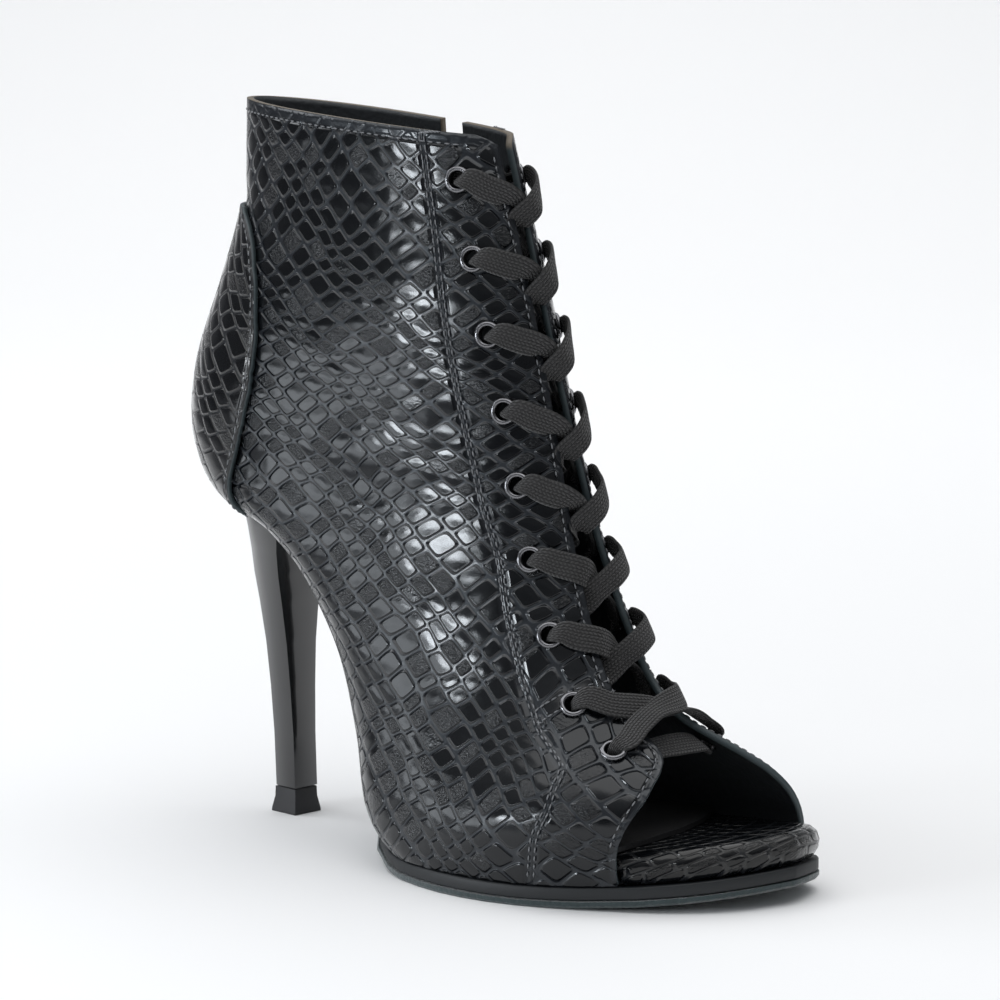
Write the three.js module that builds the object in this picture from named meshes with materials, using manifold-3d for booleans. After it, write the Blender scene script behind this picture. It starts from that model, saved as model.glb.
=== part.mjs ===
// Ankle boot, right foot: laced, open at the toe, on a tall narrow heel.
// Millimetres, +Z up, toe towards +X, outer (lateral) side towards -Y.
// The origin is on the floor, under the middle of the boot's length and width.
// Every form below is worked out from the last: a fan of sections that all run
// across the foot, each from a point on the front line to a point on the back line.

import * as THREE from "three";
import { mergeVertices } from "three/addons/utils/BufferGeometryUtils.js";
import Module from "manifold-3d";

const wasm = await Module();
wasm.setup();

// Driving sizes of the boot

const WALL = 2.0;              // leather and lining together
const GAP = 0.3;               // air left between pieces that meet
const COUNTER_THICK = 1.6;     // raised heel counter on the outside
const MIDSOLE = 3.8;
const OUTSOLE = 1.9;           // suede under the forefoot
const WAIST_SOLE = 2.2;        // sole where it climbs the waist
const INSOLE = 1.5;
const AROUND = 30;             // points around one section
const RINGS = 24;              // sections of the upper

const EYELETS = 9;             // pairs
const EYELET_HOLE = 2.5;
const EYELET_BARREL = 2.9;
const EYELET_RIM = 4.0;
const LACE_WIDTH = 7.6;
const LACE_THICK = 1.2;

const HEEL_TOP = 106;
const TIP_HEIGHT = 8.0;
const TIP_FLOOR = 5.5;         // half side of the square on the floor
const TIP_NECK = 4.7;
const TIP_X = 25;

// where the origin lies in the measuring frame used for the tables
const ORIGIN_X = 103.62;
const ORIGIN_Y = 0.05;

// The last
// fx fz   front point: throat line, then the top of the toes
// bx bz   back point: back of the leg, heel seat, waist, ball
// out in  widest reach on the outer and inner side
// wide    where the widest place lies, as a share of the way from front to back
// fe be   fullness of the front and back half, 2 is an ellipse
// mid     where the middle of the foot lies across
// lean    how far the inner side sits lower, as a slope across the boot

const LAST = [
  {fx: 116.2, fz: 218.2, bx: 9.4, bz: 223.4, out: 19.5, in: 19, wide: .54, fe: 2.2, be: 2.1, mid: 0, lean: .045},
  {fx: 121.8, fz: 200, bx: 9.3, bz: 202, out: 20.5, in: 20.5, wide: .56, fe: 2.2, be: 2.1, mid: 0, lean: .025},
  {fx: 125.8, fz: 187, bx: 9.6, bz: 189, out: 22, in: 22, wide: 0.58, fe: 2.2, be: 2.1, mid: 0, lean: 0},
  {fx: 131.7, fz: 167, bx: 3.5, bz: 168, out: 26, in: 26, wide: 0.63, fe: 2.2, be: 2.1, mid: 0, lean: 0},
  {fx: 137.6, fz: 147, bx: -5.5, bz: 144, out: 28.5, in: 28.5, wide: 0.69, fe: 2.15, be: 2.1, mid: 0, lean: 0},
  {fx: 142.5, fz: 130, bx: -7, bz: 125, out: 30, in: 29.5, wide: 0.73, fe: 2.1, be: 2.1, mid: 0.4, lean: 0},
  {fx: 145.8, fz: 118.5, bx: -2.5, bz: 112, out: 30.5, in: 30, wide: 0.75, fe: 2.1, be: 2.1, mid: 0.8, lean: 0},
  {fx: 148.8, fz: 108.5, bx: 5, bz: 104, out: 31, in: 30, wide: 0.76, fe: 2.1, be: 2.1, mid: 1.2, lean: 0},
  {fx: 151.4, fz: 100, bx: 16, bz: 98.5, out: 31, in: 30, wide: 0.76, fe: 2.1, be: 2.15, mid: 1.6, lean: 0},
  {fx: 154.0, fz: 92.5, bx: 30, bz: 93, out: 31, in: 30, wide: 0.76, fe: 2.1, be: 2.2, mid: 2.0, lean: 0},
  {fx: 156.9, fz: 84.5, bx: 46, bz: 81.5, out: 31.3, in: 30, wide: 0.75, fe: 2.1, be: 2.3, mid: 2.6, lean: 0},
  {fx: 160.3, fz: 75.5, bx: 62.5, bz: 60, out: 32.5, in: 30.5, wide: 0.72, fe: 2.1, be: 2.4, mid: 3.4, lean: 0},
  {fx: 165.0, fz: 65.5, bx: 74, bz: 35.5, out: 35, in: 31.5, wide: 0.7, fe: 2.1, be: 2.7, mid: 4.4, lean: 0},
  {fx: 170.8, fz: 57, bx: 86.8, bz: 12.5, out: 40, in: 34, wide: 0.7, fe: 2.15, be: 3.4, mid: 5.6, lean: 0},
  {fx: 177.4, fz: 51, bx: 108, bz: 1.5, out: 43, in: 37.5, wide: 0.72, fe: 2.2, be: 4.2, mid: 7.0, lean: 0},
  {fx: 184.6, fz: 47, bx: 130, bz: 0, out: 42.6, in: 40.8, wide: 0.74, fe: 2.3, be: 4.6, mid: 8.6, lean: 0},
  {fx: 192.2, fz: 43.2, bx: 152, bz: 0, out: 38.2, in: 42.6, wide: 0.75, fe: 2.35, be: 4.6, mid: 10.8, lean: 0},
  {fx: 200.2, fz: 38.6, bx: 173, bz: 0.4, out: 28.5, in: 43.2, wide: .74, fe: 2.4, be: 4.6, mid: 13.4, lean: 0},
  {fx: 208.0, fz: 31, bx: 192, bz: 1.4, out: 16.5, in: 42.2, wide: 0.7, fe: 2.5, be: 4.2, mid: 16.5, lean: 0},
  {fx: 214.0, fz: 20, bx: 206, bz: 3, out: 3, in: 37, wide: 0.6, fe: 2.5, be: 3.2, mid: 18.5, lean: 0},
];

// Feather line: the side view of the edge where upper and sole meet

const FEATHER = [
  { x: 5, z: 106.6 }, { x: 16, z: 102.3 }, { x: 30, z: 96.7 }, { x: 39.5, z: 91.2 },
  { x: 48.7, z: 83.8 }, { x: 57.5, z: 73.5 }, { x: 65.4, z: 61.9 }, { x: 72.5, z: 49.2 },
  { x: 77.2, z: 37.2 }, { x: 83, z: 24.6 }, { x: 89, z: 15 }, { x: 96, z: 9 },
  { x: 105, z: 6.8 }, { x: 112, z: 6.3 }, { x: 162, z: 6.3 }, { x: 176, z: 6.9 },
  { x: 190, z: 8.0 }, { x: 203, z: 9.6 }, { x: 216, z: 11.8 },
];

// Plan of the sole: reach to the outer and to the inner side

const SOLE_PLAN = [
  { x: 33, out: -13.5, in: 13 }, { x: 45, out: -12.5, in: 12.5 }, { x: 62, out: -12.5, in: 12.5 },
  { x: 76, out: -13.5, in: 13.5 }, { x: 85, out: -17.5, in: 16.5 }, { x: 91, out: -25, in: 22 },
  { x: 97, out: -31.5, in: 27 }, { x: 104, out: -36.5, in: 31 }, { x: 115, out: -41, in: 34.8 },
  { x: 132, out: -43.5, in: 38.6 }, { x: 150, out: -41.5, in: 41.2 }, { x: 168, out: -34.6, in: 43 },
  { x: 184, out: -25.2, in: 43.6 }, { x: 196, out: -16.6, in: 43 }, { x: 206, out: -6.4, in: 40 },
  { x: 212.6, out: 5, in: 32.2 }, { x: 216.2, out: 19, in: 20 },
];

// Opening of the throat: half its width at a height on the front line

const THROAT = [
  { z: 226, half: 3.2 }, { z: 214, half: 2.8 }, { z: 200, half: 2.7 }, { z: 180, half: 2.5 },
  { z: 150, half: 2.8 }, { z: 130, half: 3.5 }, { z: 110, half: 5.0 }, { z: 90, half: 6.8 },
  { z: 75, half: 8.2 }, { z: 62, half: 8.6 }, { z: 52, half: 8.4 }, { z: 44, half: 9.2 },
];

// Eyelet pairs: distance from the collar along the front line, and from the throat edge

const EYELET_ROW = [
  { run: 14.1, setback: 14.6 }, { run: 38, setback: 15.4 }, { run: 60.3, setback: 15.3 },
  { run: 82.9, setback: 14.6 }, { run: 104.9, setback: 14.2 }, { run: 127.4, setback: 14.3 },
  { run: 148.4, setback: 13.6 }, { run: 167.4, setback: 15.4 }, { run: 185, setback: 17.1 },
];

// Opening of the toe: its inner edge in plan, and its outer edge in side view

const TOE_INNER = [
  { x: 182, y: -4.6 }, { x: 176, y: -4.4 }, { x: 170, y: -2 }, { x: 168, y: 8 }, { x: 172, y: 14 },
  { x: 178, y: 18 }, { x: 185.5, y: 22.5 }, { x: 191.6, y: 26.5 }, { x: 195.6, y: 30 },
  { x: 198, y: 33.6 }, { x: 199, y: 37 }, { x: 199.4, y: 44 }, { x: 200, y: 60 },
];
const TOE_OUTER = [
  { x: 186, z: -10 }, { x: 186, z: 7 }, { x: 186.6, z: 12 }, { x: 188.2, z: 20 }, { x: 191.2, z: 28 },
  { x: 193, z: 34 }, { x: 192.6, z: 38.5 }, { x: 191, z: 41.5 }, { x: 189, z: 43.5 }, { x: 186, z: 46 },
  { x: 186, z: 70 },
];

// Side view of the heel counter, from its top edge at the back down to the seat

const COUNTER = [
  { x: -40, z: 187.5 }, { x: 9, z: 188.5 }, { x: 18, z: 189.5 }, { x: 25, z: 186 },
  { x: 31, z: 179.5 }, { x: 36.5, z: 168 }, { x: 39.5, z: 153 }, { x: 38, z: 135 },
  { x: 33.5, z: 119 }, { x: 29.5, z: 108 }, { x: 28.5, z: 96 }, { x: 28.5, z: 80 },
  { x: -40, z: 80 },
];

// The heel, level by level: back and breast, then half widths at the back and at the breast

const HEEL = [
  { z: 8.3, back: 20.8, breast: 29.6, rear: 4.5, front: 4.7, mid: -0.4 },
  { z: 25, back: 20.2, breast: 29.2, rear: 4.5, front: 4.7, mid: -0.6 },
  { z: 40, back: 19.4, breast: 28.8, rear: 4.9, front: 5.3, mid: -0.8 },
  { z: 54, back: 18.4, breast: 28.6, rear: 5.5, front: 6.2, mid: -1.1 },
  { z: 67, back: 17.0, breast: 28.6, rear: 6.5, front: 7.8, mid: -1.4 },
  { z: 76, back: 15.6, breast: 29.2, rear: 7.7, front: 9.8, mid: -1.4 },
  { z: 84, back: 14.0, breast: 30.6, rear: 9.2, front: 12, mid: -1.2 },
  { z: 91, back: 11.8, breast: 32.6, rear: 10.8, front: 14, mid: -1.0 },
  { z: 98, back: 9, breast: 34.0, rear: 12.2, front: 15, mid: -0.6 },
  { z: HEEL_TOP, back: 6, breast: 34.0, rear: 13, front: 15.2, mid: 0 },
];

// Small tools for curves

const mix = (a, b, t) => a + (b - a) * t;
const ease = (t) => {
  const u = Math.min(1, Math.max(0, t));
  return u * u * (3 - 2 * u);
};

// smooth reading of one column between the rows of a table
function read(rows, key, t) {
  const i = Math.min(rows.length - 2, Math.max(0, Math.floor(t)));
  const u = t - i;
  const p = (k) => rows[Math.min(rows.length - 1, Math.max(0, k))][key];
  const [a, b, c, d] = [p(i - 1), p(i), p(i + 1), p(i + 2)];
  return b + 0.5 * u * (c - a + u * (2 * a - 5 * b + 4 * c - d + u * (3 * (b - c) + d - a)));
}

// straight reading of a column at a value of another column
function lookup(rows, key, at, value) {
  const rising = rows[rows.length - 1][key] > rows[0][key];
  const seq = rising ? rows : rows.slice().reverse();
  if (at <= seq[0][key]) return seq[0][value];
  for (let i = 0; i < seq.length - 1; i++) {
    if (at <= seq[i + 1][key]) {
      const u = (at - seq[i][key]) / (seq[i + 1][key] - seq[i][key]);
      return mix(seq[i][value], seq[i + 1][value], u);
    }
  }
  return seq[seq.length - 1][value];
}

function sectionAt(t) {
  const s = {};
  for (const key of Object.keys(LAST[0])) s[key] = read(LAST, key, t);
  return s;
}

// one point of a section, moved inwards by "off" (outwards where it is negative)
function sectionPoint(s, angle, off) {
  const length = Math.hypot(s.bx - s.fx, s.bz - s.fz);
  const ux = (s.bx - s.fx) / length;
  const uz = (s.bz - s.fz) / length;
  const c = Math.cos(angle);
  const q = Math.sin(angle);
  const power = 2 / (c >= 0 ? s.fe : s.be);
  const reach = (c >= 0 ? s.wide : 1 - s.wide) * length - off;
  const along = s.wide * length - Math.sign(c) * reach * Math.abs(c) ** power;
  const half = (q >= 0 ? s.in - s.mid : s.out + s.mid) - off;
  const y = s.mid + Math.sign(q) * half * Math.abs(q) ** power;
  return new THREE.Vector3(s.fx + ux * along, y, s.fz + uz * along - s.lean * (y + s.out));
}

// Solids and their joining

function weld(positions, index) {
  let g = new THREE.BufferGeometry();
  g.setAttribute("position", new THREE.Float32BufferAttribute(positions, 3));
  g.setIndex(index);
  return mergeVertices(g, 1e-4);
}

function solid(geometry) {
  let g = geometry.clone();
  g.deleteAttribute("normal");
  g.deleteAttribute("uv");
  g = mergeVertices(g, 1e-4);
  const mesh = new wasm.Mesh({
    numProp: 3,
    vertProperties: new Float32Array(g.attributes.position.array),
    triVerts: new Uint32Array(g.index.array),
  });
  mesh.merge();
  return new wasm.Manifold(mesh);
}

// the one body of a cut solid, without the specks a cut can leave
function largest(manifold) {
  return manifold.decompose().sort((a, b) => b.volume() - a.volume())[0];
}

function plain(manifold) {
  const mesh = manifold.getMesh();
  const g = new THREE.BufferGeometry();
  const count = mesh.vertProperties.length / mesh.numProp;
  const out = new Float32Array(count * 3);
  for (let i = 0; i < count; i++) {
    for (let k = 0; k < 3; k++) out[i * 3 + k] = mesh.vertProperties[i * mesh.numProp + k];
  }
  g.setAttribute("position", new THREE.BufferAttribute(out, 3));
  g.setIndex(new THREE.BufferAttribute(new Uint32Array(mesh.triVerts), 1));
  return g;
}

// the same solid with its shortest edges closed up
function withoutSlivers(manifold, shortest = 0.12) {
  const g = plain(manifold);
  const p = g.attributes.position;
  const same = Array.from({ length: p.count }, (_, i) => i);
  const [a, b] = [new THREE.Vector3(), new THREE.Vector3()];
  for (let i = 0; i < p.count; i++) {
    a.fromBufferAttribute(p, i);
    for (let j = 0; j < i; j++) {
      if (same[j] === j && a.distanceTo(b.fromBufferAttribute(p, j)) < shortest) {
        same[i] = j;
        break;
      }
    }
  }
  const id = Array.from(g.index.array, (i) => same[i]);
  const kept = [];
  for (let i = 0; i < id.length; i += 3) {
    const [u, v, w] = id.slice(i, i + 3);
    if (u !== v && v !== w && w !== u) kept.push(u, v, w);
  }
  g.setIndex(kept);
  return solid(g);
}

// closed solid through rings of equal count, with a flat fan at each end
function loft(rings) {
  const n = rings[0].length;
  const positions = [];
  const index = [];
  for (const ring of rings) for (const p of ring) positions.push(p.x, p.y, p.z);
  for (let r = 0; r < rings.length - 1; r++) {
    for (let i = 0; i < n; i++) {
      const a = r * n + i;
      const b = r * n + ((i + 1) % n);
      index.push(a, b, b + n, a, b + n, a + n);
    }
  }
  for (const end of [0, rings.length - 1]) {
    const centre = new THREE.Vector3();
    for (const p of rings[end]) centre.addScaledVector(p, 1 / n);
    const c = positions.length / 3;
    positions.push(centre.x, centre.y, centre.z);
    for (let i = 0; i < n; i++) {
      const a = end * n + i;
      const b = end * n + ((i + 1) % n);
      if (end === 0) index.push(c, b, a);
      else index.push(c, a, b);
    }
  }
  return outward(weld(positions, index));
}

// faces turned outwards, whichever way the rings ran
function outward(g) {
  const p = g.attributes.position;
  const id = g.index.array;
  const [a, b, c] = [new THREE.Vector3(), new THREE.Vector3(), new THREE.Vector3()];
  let volume = 0;
  for (let i = 0; i < id.length; i += 3) {
    a.fromBufferAttribute(p, id[i]);
    b.fromBufferAttribute(p, id[i + 1]);
    c.fromBufferAttribute(p, id[i + 2]);
    volume += a.dot(b.cross(c));
  }
  if (volume < 0) {
    for (let i = 0; i < id.length; i += 3) [id[i], id[i + 1]] = [id[i + 1], id[i]];
  }
  return g;
}

// the whole last moved inwards by "off"; "rise" lengthens it above the collar
function lastSolid(off, rise = 0) {
  const rings = [];
  for (let r = 0; r < RINGS; r++) {
    const s = sectionAt((r * (LAST.length - 1)) / (RINGS - 1));
    const ring = [];
    for (let i = 0; i < AROUND; i++) ring.push(sectionPoint(s, (2 * Math.PI * i) / AROUND, off));
    if (r === 0 && rise > 0) rings.push(ring.map((p) => new THREE.Vector3(p.x - 1.5, p.y, p.z + rise)));
    rings.push(ring);
  }
  return solid(loft(rings));
}

// a side view outline pushed straight across the boot
function sidePrism(points, halfWidth = 70) {
  const shape = new THREE.Shape(points.map((p) => new THREE.Vector2(p.x, p.z)));
  const g = new THREE.ExtrudeGeometry(shape, { depth: 2 * halfWidth, bevelEnabled: false });
  g.rotateX(Math.PI / 2);
  g.translate(0, halfWidth, 0);
  return solid(g);
}

// a plan outline pushed straight up
function planPrism(points, low, high) {
  const shape = new THREE.Shape(points.map((p) => new THREE.Vector2(p.x, p.y)));
  const g = new THREE.ExtrudeGeometry(shape, { depth: high - low, bevelEnabled: false });
  g.translate(0, 0, low);
  return solid(g);
}

// The feather line as a path with its upward normal

function featherAt(x) {
  const z = (v) => {
    for (let i = 0; i < FEATHER.length - 1; i++) {
      if (v <= FEATHER[i + 1].x || i === FEATHER.length - 2) {
        const u = (v - FEATHER[i].x) / (FEATHER[i + 1].x - FEATHER[i].x);
        return mix(FEATHER[i].z, FEATHER[i + 1].z, u);
      }
    }
    return 0;
  };
  const slope = (z(x + 3) - z(x - 3)) / 6;
  const n = Math.hypot(1, slope);
  return { x, z: z(x), nx: -slope / n, nz: 1 / n };
}

// point at plan position x, y and at height h square to the feather line
function onSole(x, y, h) {
  const f = featherAt(x);
  const square = ease((112 - x) / 14);
  return new THREE.Vector3(x + f.nx * h * square, y, f.z + mix(h, f.nz * h, square));
}

// region below the feather line, lowered by "drop", for opening the upper underneath
function belowFeather(drop) {
  const top = [];
  for (const row of FEATHER) {
    const f = featherAt(row.x);
    top.push({ x: row.x - f.nx * drop, z: row.z - f.nz * drop });
  }
  top[0].x = FEATHER[0].x + drop;
  const low = [{ x: 225, z: -30 }, { x: top[0].x, z: -30 }];
  return sidePrism([...top, ...low]);
}

// rows of the sole's plan, at the stations of the feather line and then round the forefoot
function planRows(start, wide = 0) {
  const rows = [];
  for (const f of FEATHER) {
    if (f.x > start + 1 && f.x < 113) rows.push({ x: f.x, ...reachAt(Math.max(f.x, SOLE_PLAN[0].x)) });
  }
  rows.unshift({ x: start, ...reachAt(Math.max(start, SOLE_PLAN[0].x)) });
  for (let t = 8; t <= SOLE_PLAN.length - 1; t += 0.5) {
    rows.push({ x: read(SOLE_PLAN, "x", t), out: read(SOLE_PLAN, "out", t), in: read(SOLE_PLAN, "in", t) });
  }
  if (!wide) return rows;
  return rows.map((r) => (r.x < 114 ? { x: r.x, out: -wide, in: wide } : r));
}

function reachAt(x) {
  let t = 0;
  while (t < SOLE_PLAN.length - 1 && read(SOLE_PLAN, "x", t) < x) t += 0.02;
  return { out: read(SOLE_PLAN, "out", t), in: read(SOLE_PLAN, "in", t) };
}

// a plate with a plan, between two heights over the feather line
function plate(plan, low, high, edge) {
  const sides = [[], []];
  for (const row of plan) {
    sides[0].push(new THREE.Vector2(row.x, row.out));
    sides[1].push(new THREE.Vector2(row.x, row.in));
  }
  const around = [...sides[0], ...sides[1].reverse()];
  const n = around.length;
  const inward = around.map((p, i) => {
    const a = around[(i + n - 1) % n];
    const b = around[(i + 1) % n];
    const d = b.clone().sub(a).normalize();
    return new THREE.Vector2(-d.y, d.x);
  });
  const positions = [];
  const index = [];
  for (const level of edge) {
    around.forEach((p, i) => {
      const q = p.clone().addScaledVector(inward[i], level.inset);
      const v = onSole(q.x, q.y, mix(low(q.x), high(q.x), level.share));
      positions.push(v.x, v.y, v.z);
    });
  }
  for (let r = 0; r < edge.length - 1; r++) {
    for (let i = 0; i < n; i++) {
      const a = r * n + i;
      const b = r * n + ((i + 1) % n);
      index.push(a, b, b + n, a, b + n, a + n);
    }
  }
  for (const base of [0, (edge.length - 1) * n]) {
    for (let i = 0; i < n / 2 - 1; i++) {
      const [a, b, c, d] = [base + i, base + i + 1, base + n - 2 - i, base + n - 1 - i];
      if (base === 0) index.push(a, c, b, a, d, c);
      else index.push(a, b, c, a, c, d);
    }
  }
  return solid(outward(weld(positions, index)));
}

// Openings of the upper

// lengths along the front line, measured down from the collar
const frontLine = [];
{
  let run = 0;
  let last = null;
  for (let t = 0; t <= LAST.length - 1; t += 0.05) {
    const s = sectionAt(t);
    if (last) run += Math.hypot(s.fx - last.fx, s.fz - last.fz);
    frontLine.push({ t, run });
    last = s;
  }
}
const sectionAtRun = (run) => lookup(frontLine, "run", run, "t");

function throatHalf(z) {
  return lookup(THROAT, "z", z, "half");
}

// wedge along the front line that parts the two sides of the throat
function throatCutter() {
  const rings = [];
  for (let t = -0.6; t <= 15.2; t += 0.5) {
    const s = sectionAt(Math.max(0, t));
    const lift = t < 0 ? -t * 24 : 0;
    const length = Math.hypot(s.bx - s.fx, s.bz - s.fz);
    const ux = (s.bx - s.fx) / length;
    const uz = (s.bz - s.fz) / length;
    const half = throatHalf(s.fz + lift) + (t < 1 ? 2.4 * (1 - ease((t + 0.6) / 1.2)) : 0);
    const corner = (side, along) => new THREE.Vector3(
      s.fx + ux * along - lift * 0.25, s.mid * 0.9 + side * half, s.fz + uz * along + lift);
    rings.push([corner(-1, -16), corner(1, -16), corner(1, 18), corner(-1, 18)]);
  }
  return solid(loft(rings));
}

function toeCutter(clear) {
  const inner = [...TOE_INNER.map((p) => ({ x: p.x + clear, y: p.y })), { x: 240, y: 60 }, { x: 240, y: -4.6 }];
  const outer = [...TOE_OUTER.map((p) => ({ x: p.x + clear, z: p.z })), { x: 240, z: 70 }, { x: 240, z: -10 }];
  const half = solid(new THREE.BoxGeometry(300, 60, 200).translate(150, -4.4 - 30, 40));
  return planPrism(inner, -10, 70).add(sidePrism(outer).intersect(half));
}

// the notch in the inner rim of the collar
function notch() {
  const [x, wide, deep] = [78, 10.4, 9];
  const low = 219 - deep;
  const points = [{ x: x - wide / 2, z: 240 }, { x: x - wide / 2, z: low + 1 }, { x: x - wide / 2 + 1, z: low },
    { x: x + wide / 2 - 1, z: low }, { x: x + wide / 2, z: low + 1 }, { x: x + wide / 2, z: 240 }];
  const shape = new THREE.Shape(points.map((p) => new THREE.Vector2(p.x, p.z)));
  const g = new THREE.ExtrudeGeometry(shape, { depth: 30, bevelEnabled: false });
  g.rotateX(Math.PI / 2);
  g.translate(0, 35, 0);
  return solid(g);
}

// rounded front corners of the collar
function collarCorner() {
  const [r, x, z] = [12.5, 120.2, 218.8];
  const points = [];
  for (let i = 0; i <= 6; i++) {
    const a = (Math.PI / 2) * (i / 6);
    points.push({ x: x - r + r * Math.sin(a), z: z - r + r * Math.cos(a) });
  }
  const start = [{ x: x - r - 4, z: 240 }, { x: x - r - 4, z: z + 1.4 }];
  return sidePrism([...start, ...points, { x: 150, z: z - r }, { x: 150, z: 240 }]);
}

// Eyelets: place and facing of each one on the upper

// walk round a section from the front middle line by a length
function walk(t, length, side, off = 0) {
  const s = sectionAt(t);
  let run = 0;
  let before = sectionPoint(s, 0, off);
  for (let k = 1; k <= 400; k++) {
    const p = sectionPoint(s, side * k * 0.004, off);
    const step = p.distanceTo(before);
    if (run + step >= length) return before.clone().lerp(p, (length - run) / step);
    run += step;
    before = p;
  }
  return before;
}

function facing(t, length, side) {
  const along = walk(t + 0.1, length, side).sub(walk(t - 0.1, length, side));
  const across = walk(t, length + 1.5, side).sub(walk(t, length - 1.5, side));
  const n = along.cross(across).normalize();
  if (n.x < 0) n.negate();
  return n;
}

function eyeletPlace(k, side) {
  const t = sectionAtRun(EYELET_ROW[k].run);
  const s = sectionAt(t);
  const length = throatHalf(s.fz) + EYELET_ROW[k].setback;
  return { centre: walk(t, length, side), normal: facing(t, length, side), t, length };
}

function turned(geometry, place) {
  const g = geometry.clone();
  const q = new THREE.Quaternion().setFromUnitVectors(new THREE.Vector3(0, 1, 0), place.normal);
  g.applyQuaternion(q);
  g.translate(place.centre.x, place.centre.y, place.centre.z);
  return g;
}

const eyeletProfile = [
  [EYELET_HOLE, -WALL - 0.2], [EYELET_BARREL, -WALL - 0.2], [EYELET_BARREL, GAP], [EYELET_RIM, GAP],
  [EYELET_RIM - 0.1, GAP + 0.6], [EYELET_RIM - 0.8, GAP + 1.1], [EYELET_HOLE, GAP + 0.7],
  [EYELET_HOLE, -WALL - 0.2],
].map(([r, h]) => new THREE.Vector2(r, h));

// Laces: flat bands between the eyelets, joined where two of them cross
// at: a point of the band, wide: the direction of its width

function band(path) {
  const rings = path.map((p, i) => {
    const a = path[Math.max(0, i - 1)].at;
    const b = path[Math.min(path.length - 1, i + 1)].at;
    const tangent = b.clone().sub(a).normalize();
    const w = p.wide.clone().addScaledVector(tangent, -p.wide.dot(tangent)).normalize();
    const n = w.clone().cross(tangent);
    const half = p.width / 2;
    const thick = LACE_THICK / 2;
    return [[-1, -1], [1, -1], [1, 1], [-1, 1]].map(([u, v]) =>
      p.at.clone().addScaledVector(w, u * half).addScaledVector(n, v * thick));
  });
  return solid(loft(rings));
}

// a point at a girth length from the middle line, "height" over the upper's outside
function over(t, length, side, height) {
  return walk(t, length, side).addScaledVector(facing(t, length, side), height);
}

// a point in the gap of the throat, "height" over the line between its two edges
function inGap(t, height) {
  const half = throatHalf(sectionAt(t).fz);
  const a = over(t, half, -1, height);
  const b = over(t, half, 1, height);
  return a.lerp(b, 0.5);
}

// down the throat, along the front line
function downThroat(t) {
  const a = sectionAt(t - 0.2);
  const b = sectionAt(t + 0.2);
  return new THREE.Vector3(b.fx - a.fx, 0, b.fz - a.fz).normalize();
}

const MARGIN = 14.5;           // girth from the throat edge to the middle of an eyelet, for the laces
const OVER_EYELET = 2.7;
const UNDER_EYELET = -WALL - 1.5;

// leaves its upper eyelet outside, dips through the gap, reaches the next eyelet inside
function dippingBand(k, side, slack) {
  const from = eyeletPlace(k, side);
  const to = eyeletPlace(k + 1, -side);
  const t = (share) => mix(from.t, to.t, share);
  const half = (share) => throatHalf(sectionAt(t(share)).fz);
  const cross = to.centre.clone().sub(from.centre).normalize();
  const wideAt = (place) => cross.clone().cross(place.normal).normalize();
  const line = downThroat(t(0.5));
  const flat = wideAt(from).dot(line) < 0 ? -1 : 1;
  const leaning = wideAt(from).multiplyScalar(flat);
  const ending = wideAt(to).multiplyScalar(wideAt(to).dot(line) < 0 ? -1 : 1);
  const lift = 2.6 + slack;
  const rim = leaning.clone().lerp(line, 0.7);
  const below = ending.clone().lerp(line, 0.7);
  return band([
    { at: over(from.t, from.length, side, OVER_EYELET), wide: leaning, width: LACE_WIDTH * 0.7 },
    { at: over(t(0.07), half(0.07) + MARGIN / 2, side, lift), wide: leaning, width: LACE_WIDTH * 0.95 },
    { at: over(t(0.22), half(0.22) + 0.3, side, lift - 0.2), wide: rim, width: LACE_WIDTH },
    { at: inGap(t(0.38), -WALL / 2), wide: line, width: LACE_WIDTH },
    { at: over(t(0.54), half(0.54) + 0.3, -side, -WALL - 2.3), wide: below, width: LACE_WIDTH },
    { at: over(to.t, to.length, -side, UNDER_EYELET), wide: ending, width: LACE_WIDTH * 0.7 },
  ]);
}

// stays outside from one eyelet of the lowest crossing to the other
function outerBand(k, side, lift) {
  const from = eyeletPlace(k, side);
  const to = eyeletPlace(k - 1, -side);
  const t = (share) => mix(from.t, to.t, share);
  const half = (share) => throatHalf(sectionAt(t(share)).fz);
  const line = downThroat(t(0.5));
  const flatAt = (place) => line.clone().projectOnPlane(place.normal).normalize();
  const fromEnd = flatAt(from);
  const toEnd = flatAt(to);
  return band([
    { at: over(from.t, from.length, side, OVER_EYELET + 0.5), wide: fromEnd, width: LACE_WIDTH * 0.7 },
    { at: over(t(0.17), half(0.17) + MARGIN / 2, side, 3.2), wide: fromEnd, width: LACE_WIDTH },
    { at: over(t(0.35), half(0.35), side, 2.8 + lift), wide: line, width: LACE_WIDTH },
    { at: over(t(0.65), half(0.65), -side, 2.8 + lift), wide: line, width: LACE_WIDTH },
    { at: over(t(0.83), half(0.83) + MARGIN / 2, -side, 2.8), wide: toEnd, width: LACE_WIDTH },
    { at: over(to.t, to.length, -side, OVER_EYELET), wide: toEnd, width: LACE_WIDTH * 0.7 },
  ]);
}

// runs inside from one lowest eyelet to the other
function innerBar() {
  const a = eyeletPlace(EYELETS - 1, -1);
  const b = eyeletPlace(EYELETS - 1, 1);
  const half = throatHalf(sectionAt(a.t).fz);
  const line = downThroat(a.t);
  return band([
    { at: over(a.t, a.length, -1, UNDER_EYELET), wide: line, width: LACE_WIDTH * 0.7 },
    { at: over(a.t, half + 2, -1, -WALL - 2.6), wide: line, width: LACE_WIDTH },
    { at: over(b.t, half + 2, 1, -WALL - 2.6), wide: line, width: LACE_WIDTH },
    { at: over(b.t, b.length, 1, UNDER_EYELET), wide: line, width: LACE_WIDTH * 0.7 },
  ]);
}

// The heel as a column whose corners stay sharp

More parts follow.
